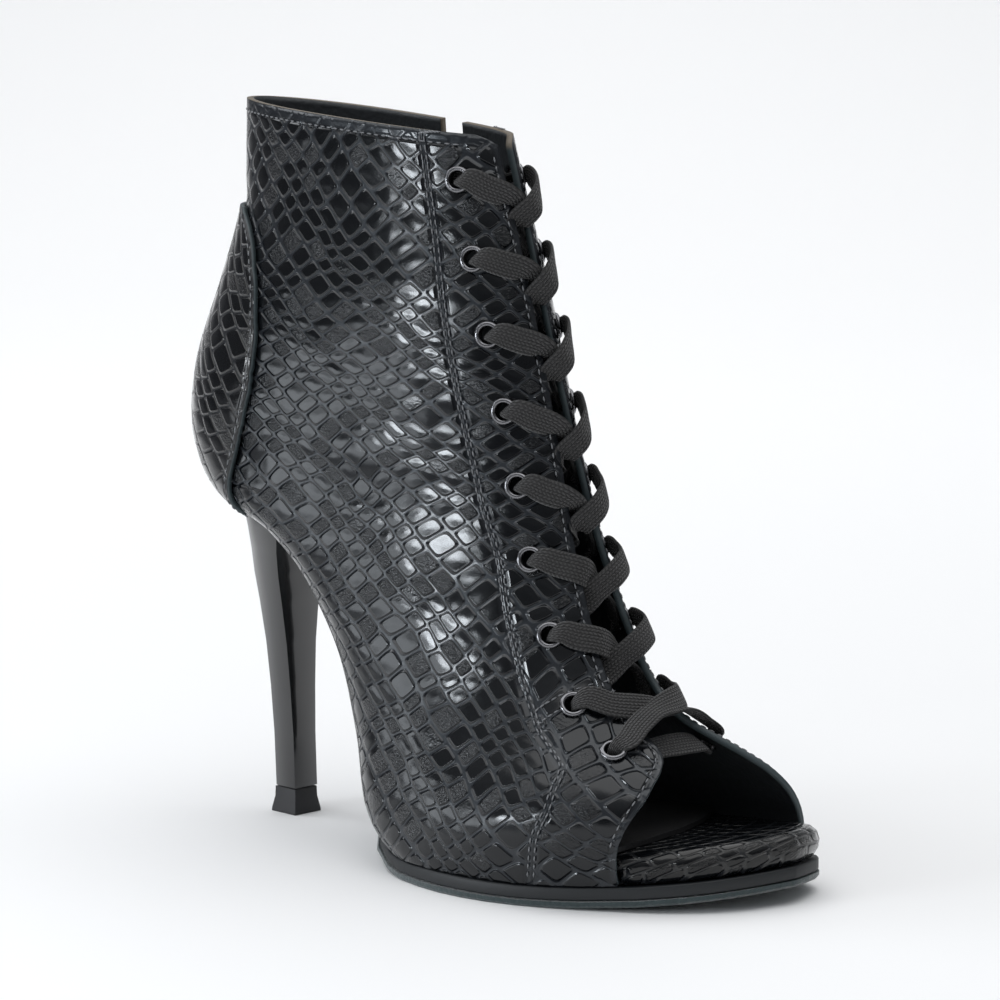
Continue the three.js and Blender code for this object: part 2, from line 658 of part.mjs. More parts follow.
function heelColumn() {
  const rings = HEEL.map((h) => {
    const round = ease((h.z - 70) / 30);
    const back = h.back + (h.rear * 0.5) * round;
    const points = [
      [h.breast, -h.front], [h.breast, 0], [h.breast, h.front],
      [mix(h.back, h.breast, 0.45), mix(h.rear, h.front, 0.62)],
      [back, h.rear], [h.back, h.rear * 0.45], [h.back, 0], [h.back, -h.rear * 0.45], [back, -h.rear],
      [mix(h.back, h.breast, 0.45), -mix(h.rear, h.front, 0.62)],
    ];
    return points.map(([x, y]) => new THREE.Vector3(x, y + h.mid, h.z));
  });
  return solid(loft(rings));
}

function heelTip() {
  const square = (half, z, x) => [[-1, -1], [1, -1], [1, 1], [-1, 1]].map(([a, b]) =>
    new THREE.Vector3(x + a * half, b * half - 0.4, z));
  const rings = [square(TIP_FLOOR, 0, TIP_X), square(TIP_FLOOR - 0.1, 1.2, TIP_X),
    square(TIP_NECK, TIP_HEIGHT * 0.6, TIP_X), square(TIP_NECK - 0.1, TIP_HEIGHT, TIP_X)];
  return solid(loft(rings));
}

// Putting the boot together

const outer = lastSolid(0);
const inner = lastSolid(WALL, 6);
const outerClear = lastSolid(-GAP, 6);
const innerClear = lastSolid(WALL + GAP, 6);
const counterShape = sidePrism(COUNTER);
const throat = throatCutter();

let upper = outer.subtract(inner)
  .subtract(belowFeather(0))
  .subtract(throat)
  .subtract(toeCutter(0))
  .subtract(notch())
  .subtract(collarCorner());

const bore = new THREE.CylinderGeometry(EYELET_BARREL + GAP, EYELET_BARREL + GAP, 12, 8);
for (let k = 0; k < EYELETS; k++) {
  for (const side of [-1, 1]) upper = upper.subtract(solid(turned(bore, eyeletPlace(k, side))));
}

const counter = lastSolid(-GAP - COUNTER_THICK, 6)
  .subtract(outerClear)
  .intersect(counterShape)
  .subtract(belowFeather(0));

// heights square to the feather line
const midsoleDepth = (x) => MIDSOLE * ease((x - 80) / 18);
const outsoleTop = (x) => -GAP - midsoleDepth(x) - (x > 84 ? GAP : 0);
const outsoleLow = (x) => outsoleTop(x) - mix(WAIST_SOLE, OUTSOLE, ease((x - 80) / 18));
const bedThick = (x) => mix(2.0, 9.6, ease((x - 40) / 140));

const outsole = plate(planRows(33), outsoleLow, outsoleTop, [
  { inset: 0.5, share: 0 }, { inset: 0, share: 0.35 }, { inset: 0, share: 1 }]);
const midsole = plate(planRows(89), (x) => -GAP - midsoleDepth(x), () => -GAP, [
  { inset: 0.2, share: 0 }, { inset: 0.2, share: 1 }]);

const wide = planRows(-18, 46);
const bed = plate(wide, () => GAP, bedThick, [
  { inset: 1.8, share: 0 }, { inset: 0.4, share: 0.22 }, { inset: 0, share: 0.5 },
  { inset: 0.8, share: 0.78 }, { inset: 2.4, share: 0.94 }, { inset: 4.8, share: 1 }]);
const platform = largest(bed.intersect(innerClear.add(toeCutter(GAP))).setTolerance(0.005));

const sockFront = planPrism([
  { x: -30, y: -60 }, { x: 189, y: -60 }, { x: 185.5, y: -24 }, { x: 183.5, y: -8 }, { x: 180, y: 10 },
  { x: 175, y: 24 }, { x: 168, y: 36 }, { x: 160, y: 46 }, { x: -30, y: 60 }], -20, 130);
const insole = plate(wide, (x) => bedThick(x) + GAP, (x) => bedThick(x) + GAP + INSOLE, [
  { inset: 0, share: 0 }, { inset: 0, share: 1 }])
  .intersect(innerClear).intersect(sockFront);

const heel = heelColumn()
  .subtract(outerClear.subtract(belowFeather(GAP)))
  .subtract(lastSolid(-GAP - COUNTER_THICK - GAP, 6).intersect(counterShape).subtract(belowFeather(GAP)))
  .subtract(plate(planRows(33 - GAP).slice(0, 6).map((r) => ({ x: r.x, out: -24, in: 24 })),
    (x) => outsoleLow(x) - GAP, () => 4, [{ inset: 0, share: 0 }, { inset: 0, share: 1 }]));

// Colours of the solids

const finish = (name, color, roughness, metalness = 0) => {
  const m = new THREE.MeshStandardMaterial({ color, roughness, metalness });
  m.name = name;
  return m;
};
const LEATHER = finish("embossed_leather", 0x17181b, 0.25);
const LINING = finish("sock_lining", 0x0d0d0f, 0.8);
const SUEDE = finish("suede_sole", 0x23302f, 0.95);
const MIDSOLE_SKIN = finish("midsole_edge", 0x1b1d1f, 0.7);
const LACQUER = finish("heel_lacquer", 0x0a0a0b, 0.15);
const TIP_RUBBER = finish("heel_tip_rubber", 0x151617, 0.6);
const METAL = finish("eyelet_metal", 0x4b4d50, 0.35, 1);
const LACE = finish("lace_braid", 0x2a2a2c, 0.85);

const boot = new THREE.Group();
boot.name = "ankle_boot";

function put(name, shape, material) {
  const g = shape instanceof THREE.BufferGeometry ? shape : plain(shape);
  g.translate(-ORIGIN_X, -ORIGIN_Y, 0);
  g.computeVertexNormals();
  const mesh = new THREE.Mesh(g, material);
  mesh.name = name;
  boot.add(mesh);
}

put("upper", upper, LEATHER);
put("heel_counter", counter, LEATHER);
put("insole", insole, LINING);
put("covered_platform", platform, LEATHER);
put("midsole", midsole, MIDSOLE_SKIN);
put("outsole", outsole, SUEDE);
put("heel", heel, LACQUER);
put("heel_tip", heelTip(), TIP_RUBBER);

const ringShape = new THREE.LatheGeometry(eyeletProfile, 8);
for (let k = 0; k < EYELETS; k++) {
  put(`eyelet_outer_${k + 1}`, solid(turned(ringShape, eyeletPlace(k, -1))), METAL);
  put(`eyelet_inner_${k + 1}`, solid(turned(ringShape, eyeletPlace(k, 1))), METAL);
}

for (let k = 0; k < EYELETS - 2; k++) {
  const crossing = dippingBand(k, -1, 0).add(dippingBand(k, 1, 1.8));
  put(`lace_cross_${k + 1}`, withoutSlivers(crossing), LACE);
}
const lowest = outerBand(EYELETS - 1, -1, 0.6).add(outerBand(EYELETS - 1, 1, 0));
put(`lace_cross_${EYELETS - 1}`, withoutSlivers(lowest), LACE);
put("lace_bar", innerBar(), LACE);

export default boot;
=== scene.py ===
# %% [markdown]
# # A lace-up ankle boot with an open toe
#
# The boot is a shell of embossed leather on a slim lacquered heel. The solids of the
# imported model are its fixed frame. Here each visible piece gets the finer form and the
# finish that the solids leave out: scales, stitches, cut edges, a braided lace and
# metal eyelets. All sizes are in millimetres until a vertex is placed.

# %% the frame and the tools
import math
import random

import bmesh
import bpy
import numpy as np
from mathutils import Matrix, Vector
from mathutils.bvhtree import BVHTree
from mathutils.kdtree import KDTree


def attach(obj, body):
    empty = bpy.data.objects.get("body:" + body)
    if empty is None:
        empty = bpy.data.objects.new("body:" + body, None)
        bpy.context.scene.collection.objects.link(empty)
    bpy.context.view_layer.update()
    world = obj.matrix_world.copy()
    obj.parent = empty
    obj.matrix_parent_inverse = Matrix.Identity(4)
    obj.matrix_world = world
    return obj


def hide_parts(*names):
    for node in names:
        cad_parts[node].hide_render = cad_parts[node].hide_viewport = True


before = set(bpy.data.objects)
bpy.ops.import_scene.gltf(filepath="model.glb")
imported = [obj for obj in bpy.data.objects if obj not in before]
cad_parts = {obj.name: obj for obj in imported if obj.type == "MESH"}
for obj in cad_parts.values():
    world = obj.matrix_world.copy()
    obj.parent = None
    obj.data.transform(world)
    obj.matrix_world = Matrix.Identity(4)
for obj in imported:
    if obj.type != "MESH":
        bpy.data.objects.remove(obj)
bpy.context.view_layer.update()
MM = 0.001
WELD = 0.2 * MM
ORIGIN = Vector((103.62, 0.05, 0.0))
random.seed(7)
print("solids:", len(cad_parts))

# %% [markdown]
# ## Camera
#
# A product photographer stands well back with a long lens, so the boot keeps its
# proportions. This one looks 45 degrees round from the outer side and 9.5 degrees down.
# One point fixes it: a bottom corner of the heel tip, whose place in the picture is known.

# %% camera
TURN, TILT = math.radians(45), math.radians(9.5)
PICTURE = 1000
FOCAL_PIXELS = 5000
CAMERA_DISTANCE = 1.56
TIP_CORNER = Vector((30.5, -5.5, 0.0))
TIP_CORNER_ACROSS, TIP_CORNER_DOWN = 296.3, 815.7

level = math.cos(TILT)
cam_back = Vector((math.sin(TURN) * level, -math.cos(TURN) * level, math.sin(TILT)))
cam_right = Vector((math.cos(TURN), math.sin(TURN), 0))
cam_up = cam_back.cross(cam_right)
ray = cam_right * (TIP_CORNER_ACROSS - PICTURE / 2) + cam_up * (PICTURE / 2 - TIP_CORNER_DOWN)
ray -= cam_back * FOCAL_PIXELS
camera = bpy.data.objects.new("camera", bpy.data.cameras.new("camera"))
bpy.context.scene.collection.objects.link(camera)
camera.data.lens = camera.data.sensor_width * FOCAL_PIXELS / PICTURE
camera.location = (TIP_CORNER - ORIGIN) * MM - ray.normalized() * CAMERA_DISTANCE
camera.rotation_mode = "QUATERNION"
camera.rotation_quaternion = Matrix((cam_right, cam_up, cam_back)).transposed().to_quaternion()
camera.data.clip_start, camera.data.clip_end = 0.1, 20
bpy.context.scene.camera = camera
print("camera at", [round(x, 3) for x in camera.location])

# %% [markdown]
# ## The last as a function
#
# Every leather piece is shaped on the last, so every piece here starts from the same
# table of sections as the solids. A section runs from a point on the front line to a
# point on the back line and bulges to the outer side (-Y) and the inner side (+Y).

# %% the table of the last
COLUMNS = ("fx", "fz", "bx", "bz", "out", "in", "wide", "fe", "be", "mid", "lean")
LAST = np.array([
    (116.2, 218.2, 9.4, 223.4, 19.5, 19, 0.54, 2.2, 2.1, 0, 0.045),
    (121.8, 200, 9.3, 202, 20.5, 20.5, 0.56, 2.2, 2.1, 0, 0.025),
    (125.8, 187, 9.6, 189, 22, 22, 0.58, 2.2, 2.1, 0, 0),
    (131.7, 167, 3.5, 168, 26, 26, 0.63, 2.2, 2.1, 0, 0),
    (137.6, 147, -5.5, 144, 28.5, 28.5, 0.69, 2.15, 2.1, 0, 0),
    (142.5, 130, -7, 125, 30, 29.5, 0.73, 2.1, 2.1, 0.4, 0),
    (145.8, 118.5, -2.5, 112, 30.5, 30, 0.75, 2.1, 2.1, 0.8, 0),
    (148.8, 108.5, 5, 104, 31, 30, 0.76, 2.1, 2.1, 1.2, 0),
    (151.4, 100, 16, 98.5, 31, 30, 0.76, 2.1, 2.15, 1.6, 0),
    (154.0, 92.5, 30, 93, 31, 30, 0.76, 2.1, 2.2, 2.0, 0),
    (156.9, 84.5, 46, 81.5, 31.3, 30, 0.75, 2.1, 2.3, 2.6, 0),
    (160.3, 75.5, 62.5, 60, 32.5, 30.5, 0.72, 2.1, 2.4, 3.4, 0),
    (165.0, 65.5, 74, 35.5, 35, 31.5, 0.7, 2.1, 2.7, 4.4, 0),
    (170.8, 57, 86.8, 12.5, 40, 34, 0.7, 2.15, 3.4, 5.6, 0),
    (177.4, 51, 108, 1.5, 43, 37.5, 0.72, 2.2, 4.2, 7.0, 0),
    (184.6, 47, 130, 0, 42.6, 40.8, 0.74, 2.3, 4.6, 8.6, 0),
    (192.2, 43.2, 152, 0, 38.2, 42.6, 0.75, 2.35, 4.6, 10.8, 0),
    (200.2, 38.6, 173, 0.4, 28.5, 43.2, 0.74, 2.4, 4.6, 13.4, 0),
    (208.0, 31, 192, 1.4, 16.5, 42.2, 0.7, 2.5, 4.2, 16.5, 0),
    (214.0, 20, 206, 3, 3, 37, 0.6, 2.5, 3.2, 18.5, 0),
])
WALL = 2.0
GAP = 0.3


def catmull(rows, t):
    """Smooth reading between the rows of an array."""
    i = int(min(len(rows) - 2, max(0, math.floor(t))))
    u = t - i
    a, b, c, d = (rows[min(len(rows) - 1, max(0, k))] for k in (i - 1, i, i + 1, i + 2))
    return b + 0.5 * u * (c - a + u * (2 * a - 5 * b + 4 * c - d + u * (3 * (b - c) + d - a)))


def section(t):
    return dict(zip(COLUMNS, catmull(LAST, t)))


def ring(s, angles, off=0.0):
    """Points of a section at some angles, moved inwards by off."""
    span = np.array((s["bx"] - s["fx"], s["bz"] - s["fz"]))
    length = np.hypot(*span)
    ux, uz = span / length
    c, q = np.cos(angles), np.sin(angles)
    power = 2 / np.where(c >= 0, s["fe"], s["be"])
    reach = np.where(c >= 0, s["wide"], 1 - s["wide"]) * length - off
    along = s["wide"] * length - np.sign(c) * reach * np.abs(c) ** power
    half = np.where(q >= 0, s["in"] - s["mid"], s["out"] + s["mid"]) - off
    y = s["mid"] + np.sign(q) * half * np.abs(q) ** power
    return np.stack([s["fx"] + ux * along, y, s["fz"] + uz * along - s["lean"] * (y + s["out"])], -1)


def place(p):
    return (Vector(p) - ORIGIN) * MM


print("sections of the last:", len(LAST))

# %% [markdown]
# ## Where the leather is cut
#
# The pattern maker cuts the leather at the throat, round the open toe and along the
# feather line, where it's pulled under the foot. Each cut is a short table, eased so
# that no corner shows between its rows.

# %% the cut lines
def eased(points, step=0.25, width=5.0):
    """A table of pairs as a dense, softened curve."""
    p = np.array(points, float)
    x = np.arange(p[0, 0], p[-1, 0] + step / 2, step)
    y = np.interp(x, p[:, 0], p[:, 1])
    n = max(1, int(width / step))
    before = y[0] - (y[1] - y[0]) * np.arange(n, 0, -1)
    after = y[-1] + (y[-1] - y[-2]) * np.arange(1, n + 1)
    pad = np.concatenate([before, y, after])
    soft = np.convolve(pad, np.ones(n) / n, "same")[n:-n]
    return lambda v: np.interp(v, x, soft)


# the feather line: height at each length
feather = eased([
    (5, 106.6), (16, 102.3), (30, 96.7), (39.5, 91.2), (48.7, 83.8), (57.5, 73.5), (65.4, 61.9),
    (72.5, 49.2), (77.2, 37.2), (83, 24.6), (89, 15), (96, 9), (105, 6.8), (112, 6.3), (162, 6.3),
    (176, 6.9), (190, 8), (203, 9.6), (216, 11.8)], width=4)
# half the throat's gap at each height of its middle line
throat_half = eased([
    (44, 9.2), (52, 8.4), (62, 8.6), (75, 8.2), (90, 6.8), (110, 5.0), (130, 3.5), (150, 2.8),
    (180, 2.5), (200, 2.7), (214, 2.8), (226, 3.2)], width=8)
# the toe's cut: length at each width on the inner side, and at each height on the outer side
toe_inner = eased([
    (-4.6, 182), (-4.4, 176), (-2, 170), (8, 168), (14, 172), (18, 178), (22.5, 185.5),
    (26.5, 191.6), (30, 195.6), (33.6, 198), (37, 199), (44, 199.4), (60, 200)], width=4)
toe_outer = eased([
    (-10, 186), (7, 186), (12, 186.6), (20, 188.2), (28, 191.2), (34, 193), (38.5, 192.6),
    (41.5, 191), (43.5, 189), (46, 186), (70, 186)], width=3)
# the outer flap beside the toe: the width at which it ends, at each length
near_edge = eased([
    (140, 8), (152, -2), (160, -5.4), (170, -5.8), (183, -5.3), (186.3, -6), (189.8, -8.6),
    (191.6, -12.6), (192.6, -18), (196, -40)], width=2)
CORNER_RADIUS, CORNER_X, CORNER_Z, CORNER_LOW = 12.5, 120.2, 218.8, 190
THROAT_DEPTH, THROAT_END = 40, 186
FLAP_START, FLAP_LOW = 150, 34


def cut_away(s, p, side):
    """True where a point of a section lies beyond the throat, toe or collar cut."""
    x, y, z = p[:, 0], p[:, 1], p[:, 2]
    cut = np.abs(y - s["mid"] * 0.9) < throat_half(s["fz"])
    cut &= (np.abs(x - s["fx"]) < THROAT_DEPTH) & (s["fx"] < THROAT_END)
    cut |= x > (toe_outer(z) if side < 0 else toe_inner(y))
    if side < 0:
        cut |= (x > FLAP_START) & (y > near_edge(x)) & (z > FLAP_LOW)
    dx = np.clip(x - (CORNER_X - CORNER_RADIUS), 0, CORNER_RADIUS)
    arc = CORNER_Z - CORNER_RADIUS + np.sqrt(CORNER_RADIUS ** 2 - dx ** 2)
    return cut | ((x > CORNER_X - CORNER_RADIUS) & (z > arc) & (s["fz"] > CORNER_LOW))


def side_run(t, side, off=0.0, count=700):
    """One side of a section from its throat or toe edge to the back or the feather line."""
    s = section(t)
    angles = np.linspace(0, math.pi, count) * side
    whole = ring(s, angles)
    p = ring(s, angles, off) if off else whole
    cut = cut_away(s, whole, side)
    first = int(np.argmax(~cut)) if not cut.all() else count - 1
    below = (whole[:, 0] > 5) & (whole[:, 2] < feather(whole[:, 0]))
    below[: max(first, count // 4)] = False
    last = int(np.argmax(below)) if below.any() else count - 1
    return s, p, first, max(last, first)


print("throat gap at the ankle: %.1f mm" % (2 * throat_half(130)))

# %% [markdown]
# ## Rows over the last
#
# A grid is laid over each side, from the collar down to the toe and from the throat edge
# round to the back. Its rows follow the sections and its edges follow the cuts, so the
# leather ends in clean lines. A flat map goes with it, in millimetres of leather, made by
# unrolling each section on to the side view: the scales lie in that map.

# %% rows over the last
def row_parameters(t0, t1, pace):
    """Values of t that step evenly along the middle of the side."""
    ts = np.linspace(t0, t1, 800)
    table = [section(t) for t in ts]
    mids = np.array([(s["fx"] * 0.6 + s["bx"] * 0.4, s["fz"] * 0.6 + s["bz"] * 0.4) for s in table])
    run = np.concatenate([[0], np.cumsum(np.hypot(*np.diff(mids, axis=0).T))])
    n = int(run[-1] / pace) + 1
    return np.interp(np.linspace(0, run[-1], n), run, ts)


def flat_map(s, p):
    """Unrolled place of each point of a section, measured from its widest point."""
    step = np.concatenate([[0], np.cumsum(np.linalg.norm(np.diff(p, axis=0), axis=1))])
    mid = int(np.argmax(np.abs(p[:, 1] - s["mid"])))
    span = np.array((s["bx"] - s["fx"], s["bz"] - s["fz"]))
    span /= np.hypot(*span)
    centre = np.array((p[mid, 0], p[mid, 2]))
    return centre + (step - step[mid])[:, None] * span


def resample(values, run, want):
    return np.stack([np.interp(want, run, values[:, k]) for k in range(values.shape[1])], -1)


INNER_HIDE = 900


def side_grid(side, ts, columns, off=0.0, start=None):
    """Points, flat map and edge distances for one side; the inner side is cut from other hide."""
    places, maps, edge = [], [], []
    for t in ts:
        s, p, first, last = side_run(t, side, off)
        if start is not None:
            first = max(first, start(p, last))
        if last <= first:
            last = min(first + 1, len(p) - 1)
            first = last - 1
        run = np.concatenate([[0], np.cumsum(np.linalg.norm(np.diff(p, axis=0), axis=1))])
        want = np.linspace(run[first], run[last], columns)
        places.append(resample(p, run, want))
        flat = resample(flat_map(s, p), run, want)
        maps.append(flat if side < 0 else flat * (-1, 1) + (INNER_HIDE, 0))
        edge.append(want - run[first])
    return np.array(places), np.array(maps), np.array(edge)


def last_row(side, shortest=0.6):
    """The t at which the toe edge meets the feather line."""
    low, high = 15.0, 19.0
    for _ in range(18):
        t = (low + high) / 2
        _, p, first, last = side_run(t, side)
        length = np.linalg.norm(np.diff(p[first:last + 1], axis=0), axis=1).sum()
        low, high = (t, high) if length > shortest else (low, t)
    return low


T_END = {side: last_row(side) for side in (-1, 1)}
print("rows end at t =", {k: round(v, 2) for k, v in T_END.items()})

# %% from rows to pieces
def grid_into(bm, places, maps, uv, flip=False):
    """A grid moved on to rows of points; returns each vertex with its row and column."""
    rows, columns = places.shape[:2]
    made = bmesh.ops.create_grid(bm, x_segments=rows - 1, y_segments=columns - 1, size=1)["verts"]
    index = {}
    for v in made:
        i = round((v.co.x + 1) / 2 * (rows - 1))
        j = round((v.co.y + 1) / 2 * (columns - 1))
        index[v] = (i, j)
    for v, (i, j) in index.items():
        v.co = place(places[i, j])
    faces = {f for v in made for f in v.link_faces}
    for f in faces:
        for loop in f.loops:
            loop[uv].uv = maps[index[loop.vert]]
    if flip:
        bmesh.ops.reverse_faces(bm, faces=list(faces))
    return index


def shown(bm, name, materials):
    """A bmesh as a smooth object in the scene."""
    mesh = bpy.data.meshes.new(name)
    bm.to_mesh(mesh)
    bm.free()
    piece = bpy.data.objects.new(name, mesh)
    bpy.context.scene.collection.objects.link(piece)
    for m in materials:
        mesh.materials.append(m)
    for face in mesh.polygons:
        face.use_smooth = True
    return piece


def finished(bm, name, materials):
    """A piece that rides with the boot."""
    piece = shown(bm, name, materials)
    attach(piece, "root")
    return piece


print("hide for the inner side starts at", INNER_HIDE, "mm")

# %% [markdown]
# ## Places on the leather
#
# Eyelets, stitches and the lace all need a point on the leather at some length from the
# throat's middle line, and the direction that the leather faces there.

# %% eyelet places
# length down the front line, and distance from the throat's edge
EYELET_ROW = [
    (14.1, 14.6), (38, 15.4), (60.3, 15.3), (82.9, 14.6), (104.9, 14.2), (127.4, 14.3),
    (148.4, 13.6), (167.4, 15.4), (185, 17.1)]
front_t = np.arange(0, 19.001, 0.05)
front_points = np.array([(section(t)["fx"], section(t)["fz"]) for t in front_t])
front_run = np.concatenate([[0], np.cumsum(np.hypot(*np.diff(front_points, axis=0).T))])


def walk(t, length, side, off=0.0):
    """A point at a length round a section from its front."""
    p = ring(section(t), np.linspace(0, 1.7, 500) * side, off)
    run = np.concatenate([[0], np.cumsum(np.linalg.norm(np.diff(p, axis=0), axis=1))])
    return Vector([float(np.interp(length, run, p[:, k])) for k in range(3)])


def facing(t, length, side):
    """The direction that the leather faces."""
    along = walk(t + 0.1, length, side) - walk(max(0, t - 0.1), length, side)
    across = walk(t, length + 1.5, side) - walk(t, length - 1.5, side)
    n = along.cross(across).normalized()
    return n if n.x > 0 else -n


def over(t, length, side, height):
    return walk(t, length, side) + facing(t, length, side) * height


def gap_half(t):
    return float(throat_half(section(t)["fz"]))


eyelets = {}
for k, (run, setback) in enumerate(EYELET_ROW):
    t = float(np.interp(run, front_run, front_t))
    for side in (-1, 1):
        length = gap_half(t) + setback
        eyelets[k, side] = dict(t=t, length=length, centre=walk(t, length, side),
                                normal=facing(t, length, side))
print("eyelet places:", len(eyelets))

# %% [markdown]
# ## Shader helpers
#
# A shader here is a chain of small sums. These helpers keep each step to one short line.

# %% shader helpers
class Shader:
    """A material whose nodes are added one step at a time."""

    def __init__(self, name):
        self.material = bpy.data.materials.new(name)
        self.material.use_nodes = True
        self.tree = self.material.node_tree
        self.skin = self.tree.nodes["Principled BSDF"]

    def put(self, socket, value):
        if isinstance(value, bpy.types.NodeSocket):
            self.tree.links.new(value, socket)
        else:
            socket.default_value = value

    def node(self, kind, **inputs):
        n = self.tree.nodes.new(kind)
        for key, value in inputs.items():
            if key.startswith("_"):
                setattr(n, key[1:], value)
        for key, value in inputs.items():
            if not key.startswith("_"):
                self.put(n.inputs[key.replace("_", " ")], value)
        return n

    def math(self, operation, a, b=0.0, c=0.0):
        n = self.tree.nodes.new("ShaderNodeMath")
        n.operation = operation
        for socket, value in zip(n.inputs, (a, b, c)):
            self.put(socket, value)
        return n.outputs[0]

    def add(self, a, b):
        return self.math("ADD", a, b)

    def sub(self, a, b):
        return self.math("SUBTRACT", a, b)

    def mul(self, a, b):
        return self.math("MULTIPLY", a, b)

    def div(self, a, b):
        return self.math("DIVIDE", a, b)

    def step(self, value, low, high, to_low=0.0, to_high=1.0):
        """A soft step from to_low to to_high as value goes from low to high."""
        n = self.tree.nodes.new("ShaderNodeMapRange")
        n.interpolation_type = "SMOOTHSTEP"
        for socket, v in zip(n.inputs, (value, low, high, to_low, to_high)):
            self.put(socket, v)
        return n.outputs[0]

    def mix(self, factor, a, b):
        n = self.tree.nodes.new("ShaderNodeMix")
        n.data_type = "RGBA"
        self.put(n.inputs[0], factor)
        self.put(n.inputs[6], a)
        self.put(n.inputs[7], b)
        return n.outputs[2]

    def noise(self, vector, scale, detail=2.0):
        return self.node("ShaderNodeTexNoise", Vector=vector, Scale=scale, Detail=detail).outputs[0]

    def bump(self, height, strength=1.0):
        """Relief from a height in mm."""
        return self.node("ShaderNodeBump", Height=height, Strength=strength, Distance=MM).outputs[0]

    def here(self):
        """The point's own place in the part, in metres."""
        return self.node("ShaderNodeTexCoord").outputs["Object"]

    def split(self, vector):
        return self.node("ShaderNodeSeparateXYZ", Vector=vector).outputs

    def attribute(self, name):
        return self.node("ShaderNodeAttribute", _attribute_name=name).outputs["Fac"]

    def set(self, **inputs):
        for key, value in inputs.items():
            self.put(self.skin.inputs[key.replace("_", " ")], value)
        return self.material


print("shader helper ready")

# %% [markdown]
# ## Embossed leather
#
# A heated plate presses the scales into the hide. They lie in slanting strips, each strip
# cut across into cells of uneven length with rounded corners. The tops are pressed flat
# and polished, the grooves between stay matt and a little paler. Some cells are wrinkled.

# %% pattern of the scales
# height over the floor and size of the scales there, in mm
SCALE_SIZES = [
    (0, 6.2), (40, 6.6), (80, 6.2), (108, 5.6), (135, 4.6), (160, 4.6), (180, 5.8), (200, 7.2),
    (230, 7.4)]
EVEN_SIZE = 5.0
CURVE_STEPS = 10
# how far a strip's width swings, how steeply its cells are cut, and how round their corners are
STRIP_SWING, CELL_SLANT, CORNER_ROUND = 1.5, 0.34, 1.7
GROOVE_FROM, GROOVE_TO = 0.12, 0.72
TILTED = 0.08


def even_height(sh, z):
    """The height stretched so that scales of every size count as equal steps."""
    rows = np.array(SCALE_SIZES)
    tallest = SCALE_SIZES[-1][0]
    sizes = np.interp(np.arange(tallest + 1), rows[:, 0], rows[:, 1])
    total = np.concatenate([[0], np.cumsum(EVEN_SIZE / sizes)[:-1]])
    n = sh.tree.nodes.new("ShaderNodeFloatCurve")
    curve = n.mapping.curves[0]
    for i, zi in enumerate(range(0, tallest + 1, tallest // CURVE_STEPS)):
        point = (zi / tallest, total[zi] / total[-1])
        if i in (0, CURVE_STEPS):
            curve.points[0 if i == 0 else -1].location = point
        else:
            curve.points.new(*point)
    n.mapping.update()
    sh.put(n.inputs["Value"], sh.div(z, float(tallest)))
    return sh.mul(n.outputs[0], float(total[-1]))


def scales(sh, flat, angle, strip, cell, seed, wander=3.2, sized=True):
    """Distance inside a scale in mm, the share of scale top, a value per scale, and its tilt."""
    soft = sh.node("ShaderNodeTexNoise", Vector=flat, Scale=0.035, Detail=1.0)
    parts = sh.node("ShaderNodeSeparateColor", Color=soft.outputs[1])
    flat_x, flat_z, _ = sh.split(flat)
    height = even_height(sh, flat_z) if sized else flat_z
    x = sh.math("MULTIPLY_ADD", sh.sub(parts.outputs[0], 0.5), wander * 2,
                sh.mul(flat_x, 0.86 if sized else 1.0))
    y = sh.math("MULTIPLY_ADD", sh.sub(parts.outputs[1], 0.5), wander * 2, height)
    a = math.radians(angle)
    p = sh.add(sh.mul(x, math.cos(a)), sh.mul(y, math.sin(a)))
    q = sh.sub(sh.mul(y, math.cos(a)), sh.mul(x, math.sin(a)))
    # strips are wider and narrower in turn
    q = sh.add(q, sh.mul(sh.math("SINE", sh.mul(q, 0.23)), STRIP_SWING))
    row = sh.div(q, strip)
    number = sh.math("FLOOR", row)
    share = sh.sub(row, number)
    across = sh.mul(sh.math("MINIMUM", share, sh.sub(1.0, share)), strip)
    shift = sh.mul(sh.math("SINE", sh.mul(number, 2.4)), 0.22)
    counted = sh.add(sh.div(sh.sub(p, sh.mul(q, CELL_SLANT)), cell), shift)
    counted = sh.add(counted, seed)
    options = dict(_voronoi_dimensions="1D", W=counted, Scale=1.0, Randomness=0.7)
    cells = sh.node("ShaderNodeTexVoronoi", _feature="DISTANCE_TO_EDGE", **options)
    nearest = sh.node("ShaderNodeTexVoronoi", _feature="F1", **options)
    along = sh.mul(cells.outputs["Distance"], cell * 0.95)
    inside = sh.math("SMOOTH_MIN", across, along, CORNER_ROUND)
    plateau = sh.step(inside, GROOVE_FROM, GROOVE_TO)
    # a value for each scale, from its strip and its own number
    number_in = sh.node("ShaderNodeCombineXYZ", X=number, Y=sh.mul(nearest.outputs["W"], 3.7))
    dice = sh.node("ShaderNodeTexWhiteNoise", _noise_dimensions="2D", Vector=number_in.outputs[0])
    chances = sh.node("ShaderNodeSeparateColor", Color=dice.outputs["Color"])
    lean_p = sh.mul(sh.sub(counted, nearest.outputs["W"]), sh.sub(chances.outputs[1], 0.5))
    lean_q = sh.mul(sh.sub(share, 0.5), sh.sub(chances.outputs[2], 0.5))
    tilt = sh.mul(sh.add(sh.mul(lean_p, cell), sh.mul(lean_q, strip)), TILTED)
    return inside, plateau, dice.outputs["Value"], tilt


print("scale sizes in mm:", sorted({size for _, size in SCALE_SIZES}))

# %% embossed leather
# the platform's roll, in mm: centre of the toe's curve, its radius, and depth gained per mm down
ROLL_CENTRE, ROLL_RADIUS, ROLL_DEPTH = 30.0, 62.0, 1.2
# distance of a row of stitches from the seam and from a cut edge, and the depth it pulls in
SEAM_ROW, EDGE_ROW, PULLED_IN = 0.75, 2.1, -0.22


